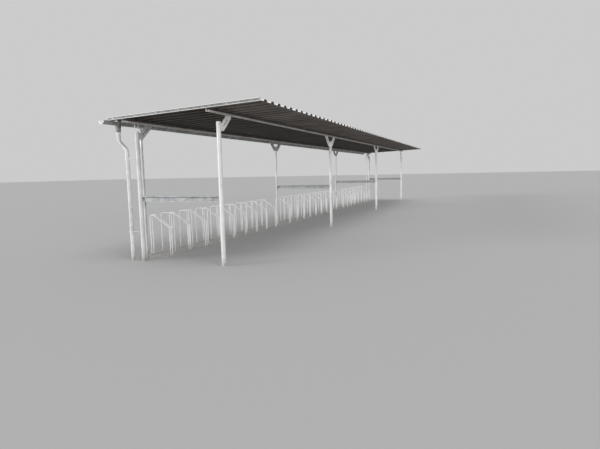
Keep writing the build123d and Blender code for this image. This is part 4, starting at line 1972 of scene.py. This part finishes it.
    def bend_pipe(self) -> None:
        """Bends the smooth downpipe and slides a sleeve over each end of its step."""
        outlet_low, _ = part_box("gutter_outlet")
        low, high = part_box("downpipe")
        gutter_y = self.shop.layout.gutter_axis[0]
        x = (low.x + high.x) / 2
        pipe_y = low.y + self.pipe_radius
        bend = outlet_low.z + self.collar_height - self.bend_drop
        foot_of_bend = bend - (gutter_y - pipe_y)
        route = [Vector((x, y, z)) for y, z in ((gutter_y, high.z), (gutter_y, bend),
                                                (pipe_y, foot_of_bend), (pipe_y, 0.0))]
        pipe = self.shop.bars.bend(
            "smooth_downpipe", [route], 2 * self.pipe_radius, self.bend_radius,
            self.shop.finishes.pipe, self.pipe_sides, self.bend_steps)
        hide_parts("downpipe")
        settle(pipe)
        inner, outer = self.pipe_radius - self.sleeve_sunk, self.pipe_radius + self.sleeve_wall
        lip = outer + self.sleeve_lip
        outline = [(inner, -self.sleeve_half), (outer, -self.sleeve_half),
                   (outer, self.sleeve_lip_start), (lip, self.sleeve_lip_start + self.sleeve_lip),
                   (lip, self.sleeve_half), (inner, self.sleeve_half)]
        sleeves = MeshDraft()
        for y, z in ((gutter_y, bend + self.sleeve_above_bend),
                     (pipe_y, foot_of_bend - self.sleeve_below_bend)):
            sleeves.turn(Vector((x, y, z)), outline, self.pipe_sides)
        settle(sleeves.finish("pipe_sleeves", self.shop.finishes.pipe))

    def fit_clamps(self) -> None:
        """Bolts the clamps' lugs and seats each rod on the post with a nut."""
        layout = self.shop.layout
        low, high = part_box("pipe_clamps")
        pipe_low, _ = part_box("downpipe")
        x = layout.frame_xs[0]
        pipe_y = pipe_low.y + self.pipe_radius
        lug_reach = (self.pipe_radius + layout.clearance + self.clamp_thickness
                     + self.lug_bolt_reach)
        nut_y = layout.back_y + layout.post_radius(Side.BACK, 1) - self.nut_sunk
        bolts = []
        nuts = []
        for z in (low.z + self.clamp_height / 2, high.z - self.clamp_height / 2):
            for side in (-1, 1):
                y = pipe_y + side * lug_reach
                bolts += [(Vector((x + way * self.clamp_thickness, y, z)), ALONG * way)
                          for way in (-1, 1)]
            nuts.append((Vector((x, nut_y, z)), BACK))
        self.shop.fasten("clamp_bolts", "gutter_zinc", bolts, self.lug_bolt)
        self.shop.fasten("clamp_nuts", "gutter_zinc", nuts, self.rod_nut)


class Hoop(Enum):
    """The two kinds of hoop on the floor rails."""

    WHEEL = "wheel"
    LOCK = "lock"


@dataclass
class Rack:
    """Floor rack: round bars in place of the plain hoops, foot welds and rail anchors."""

    shop: Workshop
    bar_width: float = 0.018
    bend_radius: float = 0.06
    wheel_front_height: float = 0.55
    wheel_back_height: float = 0.835
    lock_height: float = 0.8
    first_holder: float = 0.62
    holder_pitch: float = 0.6
    holders: int = 9
    hoop_spacing: float = 0.065
    packed_bar: float = 0.016
    weld_share: float = 1.5
    weld_thickness: float = 0.0035
    anchor: Fastener = Fastener(0.015, 0.009, 0.024, 0.0025)
    anchor_start: float = 0.25
    holders_per_anchor: int = 2

    def build(self) -> None:
        """Dresses the rails, bends the hoops of every bay and sets their small parts."""
        finishes = self.shop.finishes
        self.shop.dress(("floor_rails_", "wheel_hoops_", "lock_hoops_"), finishes.rack)
        feet = []
        for bay in self.shop.layout.bays:
            xs = self.holder_xs(bay)
            front, back = self.rail_ys(bay)
            shifts = (-self.hoop_spacing / 2, self.hoop_spacing / 2)
            wheels = [self.hoop(x + shift, front, self.wheel_front_height, back,
                                self.wheel_back_height) for x in xs for shift in shifts]
            self.bend(Hoop.WHEEL, bay, wheels)
            locks = [self.hoop(x + self.holder_pitch / 2, self.shop.layout.back_y,
                               self.lock_height, back, self.lock_height) for x in xs[:-1]]
            self.bend(Hoop.LOCK, bay, locks)
            for line in wheels + locks:
                feet += [(point, UP, ALONG) for point in (line[0], line[-1])]
        width = self.bar_width * self.weld_share
        plates = self.shop.plates
        welds = plates.place("hoop_foot_welds", feet, (width, width, self.weld_thickness),
                             width * plates.nearly_round, finishes.weld)
        settle(welds)
        self.anchor_rails()

    def holder_xs(self, bay: int) -> list[float]:
        """X of the middle of each wheel holder of a bay."""
        start = self.shop.layout.frame_xs[bay - 1] + self.first_holder
        return [start + step * self.holder_pitch for step in range(self.holders)]

    def rail_ys(self, bay: int) -> Span:
        """Y of the front and the back floor rail of a bay."""
        low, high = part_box(f"wheel_hoops_{bay}")
        return low.y + self.packed_bar / 2, high.y - self.packed_bar / 2

    def bend(self, kind: Hoop, bay: int, lines: list[list[Vector]]) -> None:
        """Bends the round bars that stand for one bay's plain hoops.

        Args:
            kind: Kind of the hoops.
            bay: Number of the bay.
            lines: Corner points of each hoop.
        """
        bars = self.shop.bars.bend(f"{kind.value}_bars_{bay}", lines, self.bar_width,
                                   self.bend_radius, self.shop.finishes.rack)
        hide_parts(f"{kind.value}_hoops_{bay}")
        settle(bars)

    def hoop(self, x: float, front: float, front_height: float, back: float,
             back_height: float) -> list[Vector]:
        """Corner points of one hoop.

        Args:
            x: The hoop's plane.
            front: Y of the front leg.
            front_height: Height of the front corner.
            back: Y of the back leg.
            back_height: Height of the back corner.

        Returns:
            Four corners from foot to foot.
        """
        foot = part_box("floor_rails_1")[1].z
        return [
            Vector((x, front, foot)),
            Vector((x, front, front_height)),
            Vector((x, back, back_height)),
            Vector((x, back, foot)),
        ]

    def anchor_rails(self) -> None:
        """Sets ground anchors along the floor rails of every bay."""
        layout = self.shop.layout
        spots = []
        for bay in layout.bays:
            xs = self.holder_xs(bay)
            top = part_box(f"floor_rails_{bay}")[1].z
            for y in self.rail_ys(bay):
                x = xs[0] + self.holder_pitch * self.anchor_start
                while x < xs[-1]:
                    spots.append((Vector((x, y, top)), UP))
                    x += self.holder_pitch * self.holders_per_anchor
        self.shop.fasten("rail_anchors", "rack_steel", spots, self.anchor)


# Studio


def seen_rays(sheet: NodeSheet) -> bpy.types.NodeSocket:
    """One where the backdrop is seen, also in metal and through glass, and zero elsewhere.

    Args:
        sheet: Where the nodes go.

    Returns:
        The value.
    """
    rays = sheet.add("ShaderNodeLightPath").outputs
    mirrored = sheet.maths("MAXIMUM", rays["Is Glossy Ray"], rays["Is Transmission Ray"])
    return sheet.maths("MAXIMUM", rays["Is Camera Ray"], mirrored)


@dataclass(frozen=True)
class Lamp:
    """One soft distant lamp: the direction it stands in and its width in degrees."""

    name: str
    strength: float
    source: tuple[float, float, float]
    softness: float


@dataclass
class Studio:
    """Floor, world, lamps and camera."""

    shop: Workshop
    eye: tuple[float, float, float] = (-15.3768, -4.0915, 1.5393)
    look: tuple[float, float, float] = (0.92074, 0.37396, -0.11137)
    right: tuple[float, float, float] = (0.37405, -0.92718, -0.02087)
    up: tuple[float, float, float] = (0.11106, 0.02244, 0.99357)
    lens: float = 27.58
    sensor: float = 36.0
    sight: float = 500.0
    floor_size: float = 400.0
    floor_seen: float = 0.55
    floor_bounce: float = 0.32
    floor_roughness: float = 0.9
    floor_gloss: float = 0.1
    sky_seen: float = 0.60
    sky_light: float = 0.36
    lamps: tuple[Lamp, ...] = (
        Lamp("key_light", 2.2, (-0.66, 0.72, 0.20), 25.0),
        Lamp("front_light", 1.4, (-0.55, -0.82, 0.12), 25.0),
        Lamp("top_light", 0.8, (-0.2, -0.3, 0.93), 40.0),
    )

    def build(self) -> None:
        """Sets the stage."""
        self.make_floor()
        self.make_world()
        for lamp in self.lamps:
            self.make_lamp(lamp)
        self.make_camera()
        bpy.context.scene.view_settings.view_transform = "Standard"

    def make_floor(self) -> None:
        """Lays a plain pale floor that throws back less light than it shows."""
        half = self.floor_size / 2
        mesh = bpy.data.meshes.new("studio_floor")
        mesh.from_pydata([(-half, -half, 0), (half, -half, 0), (half, half, 0), (-half, half, 0)],
                         [], [(0, 1, 2, 3)])
        floor = add_object("studio_floor", mesh)
        material, sheet, shader = new_material("studio_floor")
        seen = seen_rays(sheet)
        colour = sheet.blend(seen, opaque((self.floor_bounce,) * 3), opaque((self.floor_seen,) * 3))
        sheet.tree.links.new(colour, shader.inputs["Base Color"])
        shader.inputs["Roughness"].default_value = self.floor_roughness
        shader.inputs["Specular IOR Level"].default_value = self.floor_gloss
        mesh.materials.append(material)

    def make_world(self) -> None:
        """Gives even soft light from all round, behind which the backdrop shows pale."""
        world = bpy.data.worlds.new("studio")
        bpy.context.scene.world = world
        world.use_nodes = True
        sheet = NodeSheet(world.node_tree)
        background = world.node_tree.nodes["Background"]
        background.inputs["Color"].default_value = opaque((1.0, 1.0, 1.0))
        seen = seen_rays(sheet)
        strength = sheet.remap(seen, UNIT, (self.sky_light, self.sky_seen))
        sheet.tree.links.new(strength, background.inputs["Strength"])

    def make_lamp(self, lamp: Lamp) -> None:
        """Sets up one lamp.

        Args:
            lamp: The lamp's values.
        """
        light = bpy.data.lights.new(lamp.name, "SUN")
        light.energy = lamp.strength
        light.angle = math.radians(lamp.softness)
        obj = add_object(lamp.name, light)
        obj.rotation_euler = Vector(lamp.source).to_track_quat("Z", "Y").to_euler()

    def make_camera(self) -> None:
        """Puts the camera where the photograph was taken from."""
        camera = bpy.data.cameras.new("photo_camera")
        camera.lens = self.lens
        camera.sensor_width = self.sensor
        camera.sensor_fit = "HORIZONTAL"
        camera.clip_end = self.sight
        obj = add_object("photo_camera", camera)
        right, up, back = Vector(self.right), Vector(self.up), -Vector(self.look)
        turn = Matrix((right, up, back)).transposed().to_4x4()
        place = Vector(self.eye) + Vector((0, self.shop.layout.front_y, 0))
        obj.matrix_world = Matrix.Translation(place) @ turn
        bpy.context.scene.camera = obj


def main() -> None:
    """Builds every sub-assembly in order."""
    logging.basicConfig(level=logging.INFO, format="%(name)s: %(message)s")
    shop = Workshop()
    for group in (Studio, Posts, Rails, Structure, Roof, Drainage, Rack):
        LOG.info("building %s", group.__name__)
        group(shop).build()


if __name__ == "__main__":
    main()
